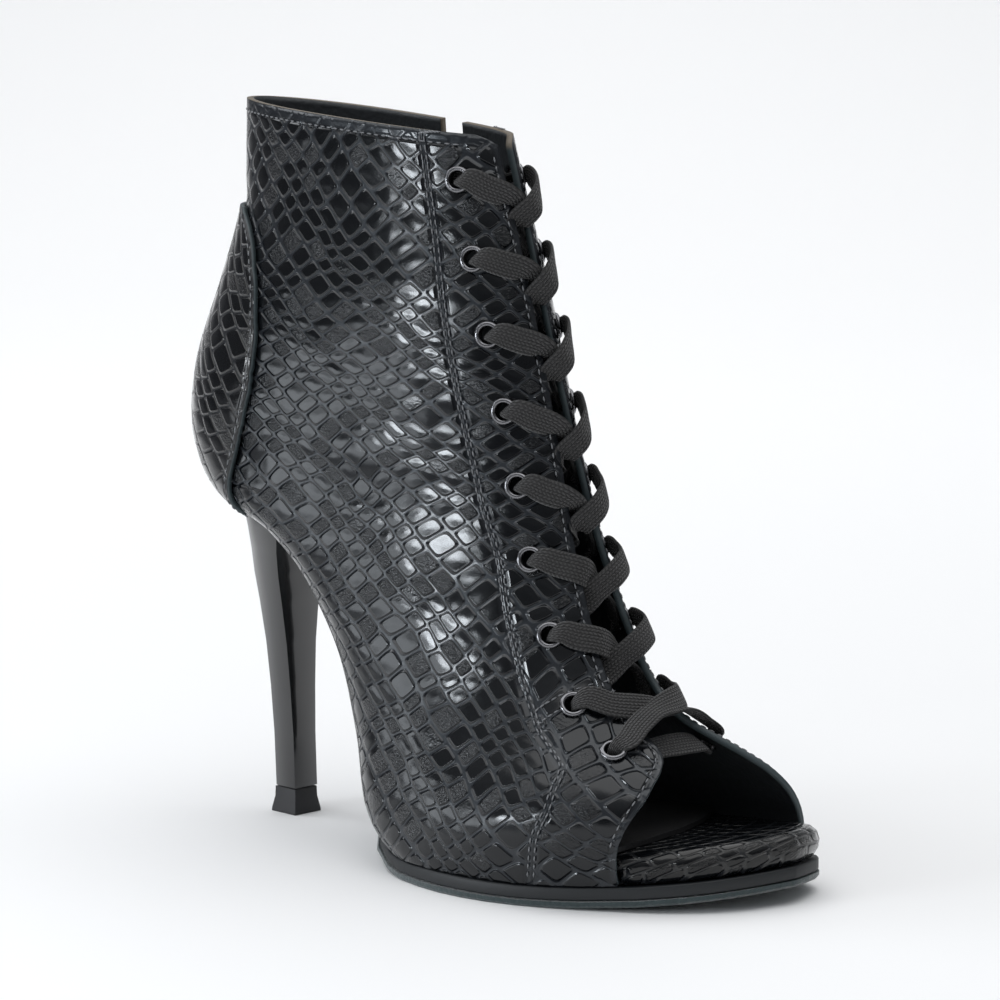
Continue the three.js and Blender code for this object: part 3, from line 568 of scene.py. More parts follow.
def rolled_map(sh):
    """The platform's cover, unrolled: length round the toe and depth over the roll, in mm."""
    along, across, up = (sh.mul(part, 1 / MM) for part in sh.split(sh.here()))
    x = sh.sub(along, ROLL_CENTRE)
    far = sh.math("SQRT", sh.add(sh.mul(x, x), sh.mul(across, across)))
    round_toe = sh.mul(sh.math("ARCTAN2", across, x), ROLL_RADIUS)
    depth = sh.sub(far, sh.mul(up, ROLL_DEPTH))
    return sh.node("ShaderNodeCombineXYZ", X=round_toe, Y=depth).outputs[0]


def pressed_flat(sh, plateau):
    """The scales fade out beside seams and cut edges, and a shallow trough follows the thread."""
    seam = sh.math("ABSOLUTE", sh.attribute("seam_mm"))
    edge = sh.attribute("edge_mm")
    open_ground = sh.mul(sh.step(seam, 0.9, 2.4, 0.35, 1.0), sh.step(edge, 0.8, 2.6, 0.2, 1.0))
    from_seam_row = sh.math("ABSOLUTE", sh.sub(seam, SEAM_ROW))
    from_edge_row = sh.math("ABSOLUTE", sh.sub(edge, EDGE_ROW))
    trough = sh.add(sh.step(from_seam_row, 0.0, 0.8, PULLED_IN, 0.0),
                    sh.step(from_edge_row, 0.0, 0.9, PULLED_IN, 0.0))
    return sh.mul(plateau, open_ground), trough


def leather(name, angle=-38.0, strip=5.0, cell=5.4, seed=0.0, seams=True, height=0.6,
            reflection_tint=(0.84, 0.93, 1.0, 1)):
    sh = Shader(name)
    flat = sh.node("ShaderNodeUVMap", _uv_map="leather").outputs[0] if seams else rolled_map(sh)
    inside, plateau, chance, tilt = scales(sh, flat, angle, strip, cell, seed, sized=seams)
    plateau, trough = pressed_flat(sh, plateau) if seams else (plateau, 0.0)
    wrinkled = sh.step(chance, 0.74, 0.82)
    creases = sh.mul(sh.noise(flat, 1.3, 3.0), sh.mul(wrinkled, 0.45))
    swell = sh.mul(sh.noise(flat, 0.12, 1.0), 0.16)
    grain = sh.mul(sh.noise(flat, 5.0, 2.0), 0.012)
    domed = sh.mul(sh.step(inside, 0.5, 2.6), 0.07)
    tall = sh.add(sh.mul(plateau, height), sh.add(domed, tilt))
    tall = sh.add(tall, sh.mul(creases, plateau))
    tall = sh.add(sh.add(tall, trough), sh.add(swell, grain))
    colour = sh.mix(plateau, (0.011, 0.0125, 0.0155, 1), (0.003, 0.0035, 0.0045, 1))
    gloss = sh.add(sh.step(plateau, 0.0, 1.0, 0.34, 0.15), sh.mul(chance, 0.08))
    relief = sh.bump(tall)
    polish = sh.step(plateau, 0.0, 1.0, 0.5, 0.72)
    shine = sh.step(plateau, 0.0, 1.0, 0.3, 0.1)
    # painted reflection colour: the tint colours the scales' reflections cool on the upper and warm
    # on the counter and the platform, for the colour of the light that they reflect
    sh.set(Base_Color=colour, Roughness=gloss, Normal=relief, Specular_IOR_Level=shine,
           Specular_Tint=reflection_tint)
    return sh.set(Coat_Weight=polish, Coat_Roughness=0.13, Coat_Normal=relief)


def cut_edge(name):
    """Raw edge of the leather: dark blue-grey, tan where the collar's edge is folded."""
    sh = Shader(name)
    where = sh.here()
    folded = sh.step(sh.split(where)[2], 0.2125, 0.2145)
    fine = sh.noise(where, 2500, 2.0)
    colour = sh.mix(folded, (0.045, 0.062, 0.068, 1), (0.13, 0.105, 0.075, 1))
    return sh.set(Base_Color=colour, Roughness=0.5, Normal=sh.bump(sh.mul(fine, 0.1)))


def plain_leather(name, colour, rough, grain=0.05, scale=4.0):
    sh = Shader(name)
    where = sh.here()
    fine = sh.noise(where, scale * 1000, 3.0)
    return sh.set(Base_Color=colour, Roughness=rough, Normal=sh.bump(sh.mul(fine, grain)))


LEATHER = leather("embossed_leather")
# the counter's and the platform's warm tint is a painted reflection colour
COUNTER_LEATHER = leather("embossed_counter", angle=-52, strip=6.0, cell=7.0, seed=3.1,
                          reflection_tint=(1.0, 0.97, 0.9, 1))
PLATFORM_LEATHER = leather("embossed_platform", angle=6, strip=4.3, cell=6.2, seed=5.7,
                           seams=False, height=0.38, reflection_tint=(1.0, 0.96, 0.86, 1))
LINING = plain_leather("lining", (0.034, 0.038, 0.042, 1), 0.5, 0.3, 0.5)
CUT_EDGE = cut_edge("cut_edge")
SOCK = plain_leather("sock_lining", (0.005, 0.005, 0.006, 1), 0.7, 0.15, 1.2)
MIDSOLE = plain_leather("midsole_edge", (0.009, 0.011, 0.013, 1), 0.55, 0.05, 0.7)
TIP = plain_leather("heel_tip_rubber", (0.02, 0.02, 0.022, 1), 0.62, 0.04, 2.0)
print("leathers made")

# %% [markdown]
# ## Other finishes
#
# The sole is suede: buffed fibres scatter the light, so it's rough with a little sheen.
# The heel is sprayed with black lacquer and the eyelets are plated. The lace is braided
# from two sets of threads that pass under each other, which gives the herringbone.

# %% suede, lacquer, metal, braid and thread
COLUMN_WIDE, THREAD_PITCH, THREAD_LEAN = 0.98, 1.25, 0.6


def suede(name):
    sh = Shader(name)
    where = sh.here()
    coarse, fine = sh.noise(where, 900, 4.0), sh.noise(where, 2600, 2.0)
    nap = sh.add(sh.mul(coarse, 0.7), sh.mul(fine, 0.3))
    colour = sh.mix(nap, (0.012, 0.02, 0.022, 1), (0.05, 0.075, 0.078, 1))
    relief = sh.bump(sh.mul(nap, 0.5))
    return sh.set(Base_Color=colour, Roughness=0.95, Sheen_Weight=0.5, Normal=relief)


def lacquer(name):
    sh = Shader(name)
    where = sh.here()
    ripple = sh.mul(sh.noise(where, 60, 1.0), 0.12)
    sh.set(Coat_Weight=0.7, Coat_Roughness=0.06)
    return sh.set(Base_Color=(0.006, 0.006, 0.007, 1), Roughness=0.16, Normal=sh.bump(ripple, 0.6))


def metal(name):
    sh = Shader(name)
    where = sh.here()
    rough = sh.step(sh.noise(where, 700, 2.0), 0.3, 0.7, 0.2, 0.32)
    return sh.set(Base_Color=(0.2, 0.2, 0.21, 1), Metallic=1.0, Roughness=rough)


def braid(name):
    """Herringbone of a flat braid, in mm along and across."""
    sh = Shader(name)
    along, across, _ = sh.split(sh.node("ShaderNodeUVMap", _uv_map="braid").outputs[0])
    column = sh.div(across, COLUMN_WIDE)
    number = sh.math("FLOOR", column)
    share = sh.sub(column, number)
    sign = sh.sub(sh.mul(sh.math("PINGPONG", number, 1.0), 2.0), 1.0)
    lean = sh.mul(share, sh.mul(sign, THREAD_LEAN))
    phase = sh.add(sh.div(along, THREAD_PITCH), lean)
    wave = sh.mul(sh.add(sh.math("SINE", sh.mul(phase, 2 * math.pi)), 1.0), 0.5)
    centre = sh.sub(1.0, sh.math("ABSOLUTE", sh.sub(sh.mul(share, 2.0), 1.0)))
    rounded = sh.step(centre, 0.0, 0.75)
    height = sh.mul(sh.add(0.35, sh.mul(wave, 0.65)), rounded)
    fuzz = sh.noise(sh.here(), 4000, 2.0)
    # painted shade and highlight: the colour is darkest in the hollows between the threads and
    # lightest on their crests
    colour = sh.mix(height, (0.002, 0.002, 0.002, 1), (0.046, 0.044, 0.044, 1))
    tall = sh.add(sh.mul(height, 0.5), sh.mul(fuzz, 0.05))
    return sh.set(Base_Color=colour, Roughness=0.78, Sheen_Weight=0.15, Normal=sh.bump(tall))


def thread(name):
    sh = Shader(name)
    twist = sh.mul(sh.noise(sh.here(), 5000, 1.0), 0.05)
    return sh.set(Base_Color=(0.17, 0.175, 0.185, 1), Roughness=0.28, Normal=sh.bump(twist))


SUEDE = suede("suede_sole")
LACQUER = lacquer("heel_lacquer")
METAL = metal("eyelet_metal")
BRAID = braid("lace_braid")
THREAD = thread("sewing_thread")
print("finishes made")

# %% [markdown]
# ## Seam and creases
#
# The front panel meets the quarter in a seam that runs from the collar down to the sole.
# Its points are read off the side view, and softened as a knife would follow
# them. Worn leather folds where the foot bends, so soft troughs and ridges lie at the
# ankle and over the ball of the foot.

# %% the panel seam, in side view
SEAM = [
    (97, 226), (97.1, 218.5), (100.9, 201.6), (105.7, 183.8), (110.8, 163.9), (115.1, 146.5),
    (120, 129.8), (125.5, 112.3), (132.8, 95.5), (138, 80.6), (146.7, 61.8), (156.2, 49.3),
    (162.9, 44.6), (169.2, 40.3), (169.9, 29.5), (167.2, 22.7), (165.5, 14.5), (163.3, 7.1),
    (162.5, 3)]
SEAM_STEP = 0.5


def dense(points, step=SEAM_STEP, reach=4):
    """A polyline with even, close points, its corners softened."""
    p = np.array(points, float)
    run = np.concatenate([[0], np.cumsum(np.linalg.norm(np.diff(p, axis=0), axis=1))])
    want = np.linspace(0, run[-1], max(2, int(run[-1] / step)))
    p = np.stack([np.interp(want, run, p[:, k]) for k in range(p.shape[1])], -1)
    soft = p.copy()
    for k in range(p.shape[1]):
        before = 2 * p[0, k] - p[1:reach + 1, k][::-1]
        after = 2 * p[-1, k] - p[-reach - 1:-1, k][::-1]
        pad = np.concatenate([before, p[:, k], after])
        soft[:, k] = np.convolve(pad, np.ones(2 * reach + 1) / (2 * reach + 1), "same")[reach:-reach]
    return soft


seam_line = dense(SEAM)
print("seam length in side view: %.0f mm" % (len(seam_line) * SEAM_STEP))

# %% creases of the leather
# from x, z to x, z in side view, width and depth in mm, side
CREASES = [
    ((60, 118), (112, 108), 5.0, -0.5, -1), ((66, 128), (108, 119), 4.0, 0.35, -1),
    ((96, 84), (136, 96), 6.0, -0.45, -1), ((20, 130), (44, 112), 5.0, -0.4, -1),
    ((128, 40), (158, 50), 7.0, -0.4, -1), ((60, 190), (96, 180), 7.0, -0.4, -1),
    ((60, 120), (110, 110), 5.0, -0.5, 1), ((92, 88), (130, 98), 6.0, -0.45, 1),
    ((30, 176), (80, 168), 8.0, -0.4, 1), ((130, 42), (160, 50), 7.0, -0.4, 1)]
CREASE_BOW, FADE = 2.0, 0.3


def crease_depth(x, z, side):
    depth = 0.0
    for (x0, z0), (x1, z1), width, deep, on in CREASES:
        if on != side:
            continue
        length = math.hypot(x1 - x0, z1 - z0)
        u = ((x - x0) * (x1 - x0) + (z - z0) * (z1 - z0)) / length
        v = ((z - z0) * (x1 - x0) - (x - x0) * (z1 - z0)) / length
        v += CREASE_BOW * math.sin(math.pi * u / length)
        if -FADE * length < u < (1 + FADE) * length:
            fade = math.sin(math.pi * (u / length + FADE) / (1 + 2 * FADE)) ** 2
            depth += deep * fade * math.exp(-(v / width) ** 2)
    return depth


print("creases:", len(CREASES))

# %% [markdown]
# ## The upper
#
# On the real boot two quarters are sewn to a front panel and pulled over the last. Here
# both sides are one bmesh, cut by its grid, with a notch and eyelet holes taken out. A
# Solidify modifier gives the wall its 2 mm, and its cut edges take the raw finish. Each
# vertex also stores how far it lies from the seam and from the nearest cut edge,
# because the scales are pressed flat along both.

# %% cuts in the upper
NOTCH_X, NOTCH_WIDE, NOTCH_LOW = 78.0, 10.4, 210.0
NOTCH_CLEAR = 8.0
HOLE_RADIUS = 3.2


def cut_notch(bm):
    """The gap in the inner rim of the collar."""
    def collar():
        centres = ((f, f.calc_center_median()) for f in bm.faces)
        return [(f, c) for f, c in centres if c.y > 5 * MM and c.z > 200 * MM]

    left, right = NOTCH_X - NOTCH_WIDE / 2, NOTCH_X + NOTCH_WIDE / 2
    cuts = (((left, 0, 0), (1, 0, 0)), ((right, 0, 0), (1, 0, 0)), ((0, 0, NOTCH_LOW), (0, 0, 1)))
    for where, normal in cuts:
        faces = [f for f, _ in collar()]
        edges = {e for f in faces for e in f.edges}
        verts = {v for f in faces for v in f.verts}
        bmesh.ops.bisect_plane(bm, geom=[*faces, *edges, *verts], plane_co=place(where),
                               plane_no=normal, dist=1e-7)
    a, b = place((left, 0, NOTCH_LOW)), place((right, 0, NOTCH_LOW))
    gone = [f for f, c in collar() if a.x < c.x < b.x and c.z > a.z]
    bmesh.ops.delete(bm, geom=gone, context="FACES")


def cut_hole(bm, centre, normal):
    """A round hole for an eyelet, its rim drawn on to a circle."""
    reach = HOLE_RADIUS * 0.85 * MM
    close = [f for f in bm.faces if (f.calc_center_median() - centre).length < reach]
    rim = {v for f in close for v in f.verts}
    bmesh.ops.delete(bm, geom=close, context="FACES")
    for v in rim:
        if v.is_valid and v.link_faces:
            flat = v.co - centre
            flat -= normal * flat.dot(normal)
            v.co += flat.normalized() * HOLE_RADIUS * MM - flat


def line_tree(points):
    tree = KDTree(len(points))
    for i, q in enumerate(points):
        tree.insert(q, i)
    tree.balance()
    return tree


def seam_distance(x, z):
    """Signed distance in side view from the panel seam."""
    (qx, qz, _), i, d = seam_tree.find((x, z, 0))
    a, b = seam_line[max(0, i - 1)], seam_line[min(len(seam_line) - 1, i + 1)]
    return d if (b[0] - a[0]) * (z - qz) - (b[1] - a[1]) * (x - qx) > 0 else -d


seam_tree = line_tree([(x, z, 0) for x, z in seam_line])
print("holes of %.1f mm, notch of %.1f mm" % (2 * HOLE_RADIUS, NOTCH_WIDE))

# %% the upper's grid
UPPER_PACE, UPPER_COLUMNS = 1.5, 84
SEAM_REACH = 40.0
# the collar's edge is folded over by this much, above and behind these places
FOLDED, FOLD_LOW, FOLD_FRONT = 1.6, 215, 114
rims = {}


def cut_edges(bm):
    """Points along the cut edges, each with the width of the fold there."""
    points = []
    for e in bm.edges:
        if not e.is_boundary:
            continue
        a, b = (v.co / MM + ORIGIN for v in e.verts)
        middle = (a + b) / 2
        if middle.x > 6 and abs(middle.z - float(feather(middle.x))) < 0.7:
            continue
        band = FOLDED if middle.z > FOLD_LOW and middle.x < FOLD_FRONT else 0.0
        points += [(*a.lerp(b, u), band) for u in (0, 0.5)]
    return points


def build_upper():
    bm = bmesh.new()
    uv = bm.loops.layers.uv.new("leather")
    crease = {}
    for side in (-1, 1):
        ts = row_parameters(0.0, T_END[side], UPPER_PACE)
        places, maps, _ = side_grid(side, ts, UPPER_COLUMNS)
        rims[side] = places
        index = grid_into(bm, places, maps, uv, flip=side < 0)
        for v, (i, j) in index.items():
            crease[v] = crease_depth(places[i, j, 0], places[i, j, 2], side)
    bm.normal_update()
    for v, depth in crease.items():
        v.co += v.normal * depth * MM
    bmesh.ops.remove_doubles(bm, verts=bm.verts, dist=WELD)
    cut_notch(bm)
    cut = cut_edges(bm)
    cut_tree = line_tree([c[:3] for c in cut])
    seam_mm = bm.verts.layers.float.new("seam_mm")
    edge_mm = bm.verts.layers.float.new("edge_mm")
    for v in bm.verts:
        q = v.co / MM + ORIGIN
        v[seam_mm] = max(-SEAM_REACH, min(SEAM_REACH, seam_distance(q.x, q.z)))
        _, i, d = cut_tree.find(q)
        v[edge_mm] = max(0.0, d - cut[i][3])
    for e in eyelets.values():
        cut_hole(bm, place(e["centre"]), e["normal"])
    bm.normal_update()
    return bm


upper_bm = build_upper()
upper_tree = BVHTree.FromBMesh(upper_bm)
print("upper grid:", len(upper_bm.verts), "vertices")

# %% the upper as a wall
def walled(bm, name, replaced, thickness, materials):
    """A skin with a thickness to its inside; its rim shows the third material."""
    piece = finished(bm, name, materials)
    shell = piece.modifiers.new("wall", "SOLIDIFY")
    shell.thickness, shell.offset = thickness * MM, -1
    shell.material_offset, shell.material_offset_rim = 1, 2
    shell.use_even_offset = False
    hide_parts(replaced)


walled(upper_bm, "upper_leather", "upper", WALL, [LEATHER, LINING, CUT_EDGE])
print("wall: %.1f mm" % WALL)

# %% [markdown]
# ## The heel counter
#
# A stiff panel outside the back part holds the heel's shape. It's the upper's own surface
# moved out by its thickness, cut to its side view, so the same rows make it.

# %% heel counter
# its front edge: length at each height
counter_edge = eased([
    (80, 28.5), (96, 28.5), (108, 29.5), (119, 33.5), (135, 38), (153, 39.5), (168, 36.5),
    (179.5, 31), (186, 25), (189.5, 18)], width=5)
COUNTER_THICK = 1.6
COUNTER_PACE, COUNTER_COLUMNS = 1.2, 46
COUNTER_TOP, COUNTER_END = 1.93, 8.75


def counter_start(p, last):
    """The first point of a section that lies behind the counter's front edge."""
    inside = (p[:, 0] < counter_edge(p[:, 2])) & (np.arange(len(p)) > len(p) // 3)
    return int(np.argmax(inside)) if inside.any() else last


def build_counter():
    bm = bmesh.new()
    uv = bm.loops.layers.uv.new("leather")
    seam_mm = bm.verts.layers.float.new("seam_mm")
    edge_mm = bm.verts.layers.float.new("edge_mm")
    for side in (-1, 1):
        ts = row_parameters(COUNTER_TOP, COUNTER_END, COUNTER_PACE)
        places, maps, edge = side_grid(side, ts, COUNTER_COLUMNS, -GAP - COUNTER_THICK, counter_start)
        rims["counter", side] = places
        index = grid_into(bm, places, maps, uv, flip=side < 0)
        top = places[0, :, 2].mean()
        for v, (i, j) in index.items():
            v[edge_mm] = min(edge[i, j], max(0.0, top - places[i, j, 2]))
            v[seam_mm] = SEAM_REACH
    bmesh.ops.remove_doubles(bm, verts=bm.verts, dist=WELD)
    bm.normal_update()
    return bm


counter_bm = build_counter()
counter_tree = BVHTree.FromBMesh(counter_bm)
walled(counter_bm, "counter_leather", "heel_counter", COUNTER_THICK,
       [COUNTER_LEATHER, CUT_EDGE, CUT_EDGE])
print("counter rows:", rims["counter", -1].shape)

# %% [markdown]
# ## Platform, sock, soles and heel
#
# These keep the forms of their solids. Each is a merged copy with smooth shading, sharp
# only where the real piece has a corner, and the heel's corners get a fine bevel as
# lacquer never lies on a knife edge.

# %% smooth copies of the solids
# angles in degrees: faces flatter than this are merged, and corners left sharp after a bevel
MERGED, STILL_SHARP = 1.5, 60


def smooth_copy(node, name, material, slot, sharp, bevel):
    """A solid's own form, merged, smoothed and given its finish."""
    bm = bmesh.new()
    bm.from_mesh(bpy.data.objects[node].data)
    bmesh.ops.remove_doubles(bm, verts=bm.verts, dist=0.03 * MM)
    bmesh.ops.dissolve_limit(bm, angle_limit=math.radians(MERGED), verts=bm.verts, edges=bm.edges)
    if bevel:
        corners = [e for e in bm.edges
                   if len(e.link_faces) == 2 and e.calc_face_angle() > math.radians(sharp)]
        bmesh.ops.bevel(bm, geom=corners, offset=bevel * MM, affect="EDGES", segments=2,
                        profile=0.5, material=-1, clamp_overlap=True)
        sharp = STILL_SHARP
    bmesh.ops.triangulate(bm, faces=[f for f in bm.faces if len(f.verts) > 4])
    piece = finished(bm, name, [material])
    piece.data.set_sharp_from_angle(angle=math.radians(sharp))
    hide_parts(node)


# solid, piece, finish, slot, angle of a corner in degrees, bevel in mm
COPIES = [
    ("covered_platform", "platform_cover", PLATFORM_LEATHER, "embossed_leather", 40, 0.0),
    ("insole", "sock", SOCK, "sock_lining", 35, 0.0),
    ("midsole", "midsole_rand", MIDSOLE, "midsole_edge", 35, 0.5),
    ("outsole", "suede_sole", SUEDE, "suede_sole", 35, 0.0),
    ("heel", "lacquered_heel", LACQUER, "heel_lacquer", 22, 0.55),
    ("heel_tip", "rubber_tip", TIP, "heel_tip_rubber", 30, 0.25),
]
for row in COPIES:
    smooth_copy(*row)
print("smooth copies:", len(COPIES))

# %% [markdown]
# ## Eyelets
#
# A metal eyelet is pressed from a tube: a barrel through the leather and a rolled rim on
# top. Its profile is spun once round the eyelet's own axis, 18 times over.

# %% eyelets
# radius, and height over the leather
EYELET_PROFILE = [
    (2.5, -2.2), (2.5, 0.7), (2.62, 1.1), (2.95, 1.38), (3.35, 1.4), (3.72, 1.2), (3.95, 0.85),
    (4.0, 0.5), (3.92, 0.3), (2.9, 0.3), (2.9, -2.2)]
EYELET_STEPS = 32


def build_eyelets():
    bm = bmesh.new()
    for e in eyelets.values():
        normal, centre = e["normal"], place(e["centre"])
        out = normal.orthogonal().normalized()
        verts = [bm.verts.new(centre + (out * r + normal * h) * MM) for r, h in EYELET_PROFILE]
        edges = [bm.edges.new((a, b)) for a, b in zip(verts, verts[1:] + verts[:1])]
        bmesh.ops.spin(bm, geom=verts + edges, cent=centre, axis=normal, angle=2 * math.pi,
                       steps=EYELET_STEPS, use_merge=True)
    bmesh.ops.remove_doubles(bm, verts=bm.verts, dist=0.01 * MM)
    bmesh.ops.recalc_face_normals(bm, faces=bm.faces)
    piece = finished(bm, "eyelet_rings", [METAL])
    piece.data.set_sharp_from_angle(angle=math.radians(50))
    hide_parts(*[f"eyelet_{where}_{k + 1}" for k in range(9) for where in ("outer", "inner")])


build_eyelets()
print("eyelets:", len(eyelets))

# %% [markdown]
# ## The lace
#
# One flat braid runs through all eyelets. It leaves an eyelet on the outside, bends over
# the edge of the throat and comes up through the next eyelet of the other side from
# inside. The lowest crossing stays outside and a bar joins its eyelets inside. The path is
# a row of stations, each with a place, the direction of the braid's width, and its width
# there, because a hole of 5 mm pinches a braid of 8 mm.

# %% places and directions for the lace
LACE_WIDE = 8.0


def beside(t, margin, side, height):
    """Over the leather at a margin from the throat's edge."""
    return over(t, gap_half(t) + margin, side, height)


def in_gap(t, height, share=0.5):
    """Between the two edges of the throat, from the outer (0) to the inner one (1)."""
    return beside(t, 0, -1, height).lerp(beside(t, 0, 1, height), share)


def down_throat(t):
    """The direction of the throat's middle line."""
    a, b = section(max(0, t - 0.2)), section(t + 0.2)
    return Vector((b["fx"] - a["fx"], 0, b["fz"] - a["fz"])).normalized()


def station(at, wide, width, thick=1.15):
    """Place, direction of the width, width and thickness, as one row."""
    return np.array((*at, *wide, width, thick))


def width_direction(e, direction, line):
    """Across the strand and flat on the leather, to the side that the line points to."""
    w = direction.cross(e["normal"]).normalized()
    return w if w.dot(line) > 0 else -w


def crossing(a, b):
    """How t runs between two eyelets, the way across, and the braid's width at both."""
    def t(u):
        return a["t"] + (b["t"] - a["t"]) * u

    cross = (b["centre"] - a["centre"]).normalized()
    leaning = width_direction(a, cross, down_throat(t(0.5)))
    return t, cross, leaning, width_direction(b, cross, leaning)


way = crossing(eyelets[0, -1], eyelets[1, 1])[1]
print("the first strand runs along", [round(x, 2) for x in way])

# %% stations of the lace
def up_through(e, side, wide):
    """From inside to outside through an eyelet."""
    t, length = e["t"], e["length"]
    return [station(over(t, length - 0.4, side, -WALL - 1.5), wide, 5.0, 1.3),
            station(over(t, length - 0.1, side, -0.8), wide, 3.9, 1.7),
            station(over(t, length - 1.6, side, 1.6), wide, 5.0, 1.5),
            station(over(t, length - 4.2, side, 2.2), wide, 7.0, 1.2)]


def dip(k, side):
    """Outside over the margin, over the edge, and inside to the next eyelet across."""
    a, b = eyelets[k, side], eyelets[k + 1, -side]
    t, cross, leaning, ending = crossing(a, b)
    rim, half = leaning.lerp(ending, 0.2), leaning.lerp(ending, 0.5)
    if side > 0:
        # the strand twists open to the outer side where it leaves the edge
        open_out = cross.cross(Vector((0.7, -0.7, 0.17))).normalized()
        open_out *= 1 if open_out.dot(leaning) > 0 else -1
        rim, half = leaning.lerp(open_out, 0.3), leaning.lerp(open_out, 0.5)
    slack = random.uniform(-0.2, 0.35)
    if side < 0:
        middle = [station(beside(t(0.07), 6.5, side, 2.0), leaning, 7.9),
                  station(beside(t(0.18), 0.8, side, 2.0 + slack), rim, 8.1),
                  station(in_gap(t(0.34), -1.9), half, LACE_WIDE)]
    else:
        middle = [station(beside(t(0.05), 6.0, side, 2.9 + slack), leaning, 7.6),
                  station(beside(t(0.17), 1.0, side, 4.6 + slack), rim, LACE_WIDE),
                  station(in_gap(t(0.34), 4.9 + slack, 0.68), half, LACE_WIDE),
                  station(in_gap(t(0.51), 0.2, 0.3), half, LACE_WIDE)]
    end = 0.54 if side < 0 else 0.64
    return up_through(a, side, leaning) + middle + [
        station(beside(t(end), 0.8, -side, -WALL - 1.9), ending, LACE_WIDE),
        station(beside(t(0.84), 8.0, -side, -WALL - 1.6), ending, 7.8)]


def outside_run(side):
    """The lowest crossing, from its upper eyelet down to the lowest one across."""
    a, b = eyelets[7, side], eyelets[8, -side]
    t, _, leaning, ending = crossing(a, b)
    lift = 1.5 if side > 0 else 0.0
    down = up_through(b, -side, ending)[::-1]
    return up_through(a, side, leaning) + [
        station(beside(t(0.2), 6.5, side, 2.2 + lift * 0.4), leaning, 7.8),
        station(beside(t(0.37), 0, side, 2.2 + lift), leaning, LACE_WIDE),
        station(beside(t(0.63), 0, -side, 2.2 + lift), ending, LACE_WIDE),
        station(beside(t(0.8), 6.5, -side, 2.2 + lift * 0.4), ending, 7.8)] + down


def half_lace(start):
    """From the hidden end behind the top eyelet down to the lowest eyelet's inside."""
    first, side = eyelets[0, start], start
    w = width_direction(first, Vector((0, 1, 0)), down_throat(0.5))
    run = [station(over(first["t"], first["length"] + 9, side, -WALL - 1.6), w, 7.6),
           station(over(first["t"], first["length"] + 4, side, -WALL - 1.7), w, 7.0)]
    for k in range(7):
        run += dip(k, side)
        side = -side
    return run + outside_run(side)


def lace_stations():
    """Both halves, joined by the bar between the lowest eyelets."""
    down, up = half_lace(-1), half_lace(1)[::-1]
    line = down_throat(eyelets[8, -1]["t"])
    bar = [station(beside(eyelets[8, side]["t"], 4, side, -WALL - 2.6), line, LACE_WIDE)
           for side in (-1, 1)]
    return np.array(down + bar + up)


stations = lace_stations()
print("lace stations:", len(stations))

# %% the lace as one braid
def smooth_run(rows, step=0.9):
    """Even rows along a smooth curve through the stations."""
    gaps = np.maximum(np.linalg.norm(np.diff(rows[:, :3], axis=0), axis=1), 0.2) ** 0.85
    knots = np.concatenate([[0], np.cumsum(gaps)])
    slopes = np.empty_like(rows)
    rate = np.diff(rows, axis=0) / gaps[:, None]
    slopes[0], slopes[-1] = rate[0], rate[-1]
    share = (gaps[:-1] / (gaps[:-1] + gaps[1:]))[:, None]
    slopes[1:-1] = rate[:-1] * (1 - share) + rate[1:] * share
    u = np.linspace(0, knots[-1], 8000)
    i = np.clip(np.searchsorted(knots, u, side="right") - 1, 0, len(gaps) - 1)
    h = gaps[i][:, None]
    x = ((u - knots[i]) / gaps[i])[:, None]
    curve = ((2 * x**3 - 3 * x**2 + 1) * rows[i] + (x**3 - 2 * x**2 + x) * h * slopes[i]
             + (3 * x**2 - 2 * x**3) * rows[i + 1] + (x**3 - x**2) * h * slopes[i + 1])
    run = np.concatenate([[0], np.cumsum(np.linalg.norm(np.diff(curve[:, :3], axis=0), axis=1))])
    want = np.linspace(0, run[-1], int(run[-1] / step))
    return np.stack([np.interp(want, run, curve[:, k]) for k in range(8)], -1), run[-1]


AROUND = 17


def build_lace():
    rows, length = smooth_run(stations)
    at, wide = rows[:, :3], rows[:, 3:6]
    tangent = np.gradient(at, axis=0)
    tangent /= np.linalg.norm(tangent, axis=1, keepdims=True)
    wide = wide - (wide * tangent).sum(1, keepdims=True) * tangent
    wide /= np.linalg.norm(wide, axis=1, keepdims=True)
    up = np.cross(wide, tangent)
    a = np.linspace(0, 2 * math.pi, AROUND)
    flat = np.sign(np.cos(a)) * np.abs(np.cos(a)) ** 0.55
    high = np.sign(np.sin(a)) * np.abs(np.sin(a)) ** 0.75
    to_side = (rows[:, 6:7] / 2 * flat)[:, :, None]
    to_face = (rows[:, 7:8] / 2 * high)[:, :, None]
    places = at[:, None] + wide[:, None] * to_side + up[:, None] * to_face
    along = np.linspace(0, length, len(rows))
    maps = np.stack(np.broadcast_arrays(along[:, None], flat[None] * LACE_WIDE / 2), -1)
    bm = bmesh.new()
    uv = bm.loops.layers.uv.new("braid")
    grid_into(bm, places, maps, uv)
    bmesh.ops.remove_doubles(bm, verts=bm.verts, dist=0.005 * MM)
    bmesh.ops.holes_fill(bm, edges=[e for e in bm.edges if e.is_boundary], sides=0)
    bmesh.ops.recalc_face_normals(bm, faces=bm.faces)
    piece = finished(bm, "lace", [BRAID])
    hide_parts(*[f"lace_cross_{k}" for k in range(1, 9)], "lace_bar")
    return piece, length


lace, lace_length = build_lace()
print("lace: %.0f mm long, %d faces" % (lace_length, len(lace.data.polygons)))

# %% [markdown]
# ## Stitches
#
# The thread lies in short proud stitches on the leather. Each is one small ball stretched
# along its row. The rows follow the seam and the cut edges at the distances that a
# machine's guide keeps.

# %% rows of stitches
def on_leather(tree, p, reach=0.02):
    hit, normal, _, _ = tree.find_nearest(place(p), reach)
    return (hit, normal) if hit is not None else (None, None)


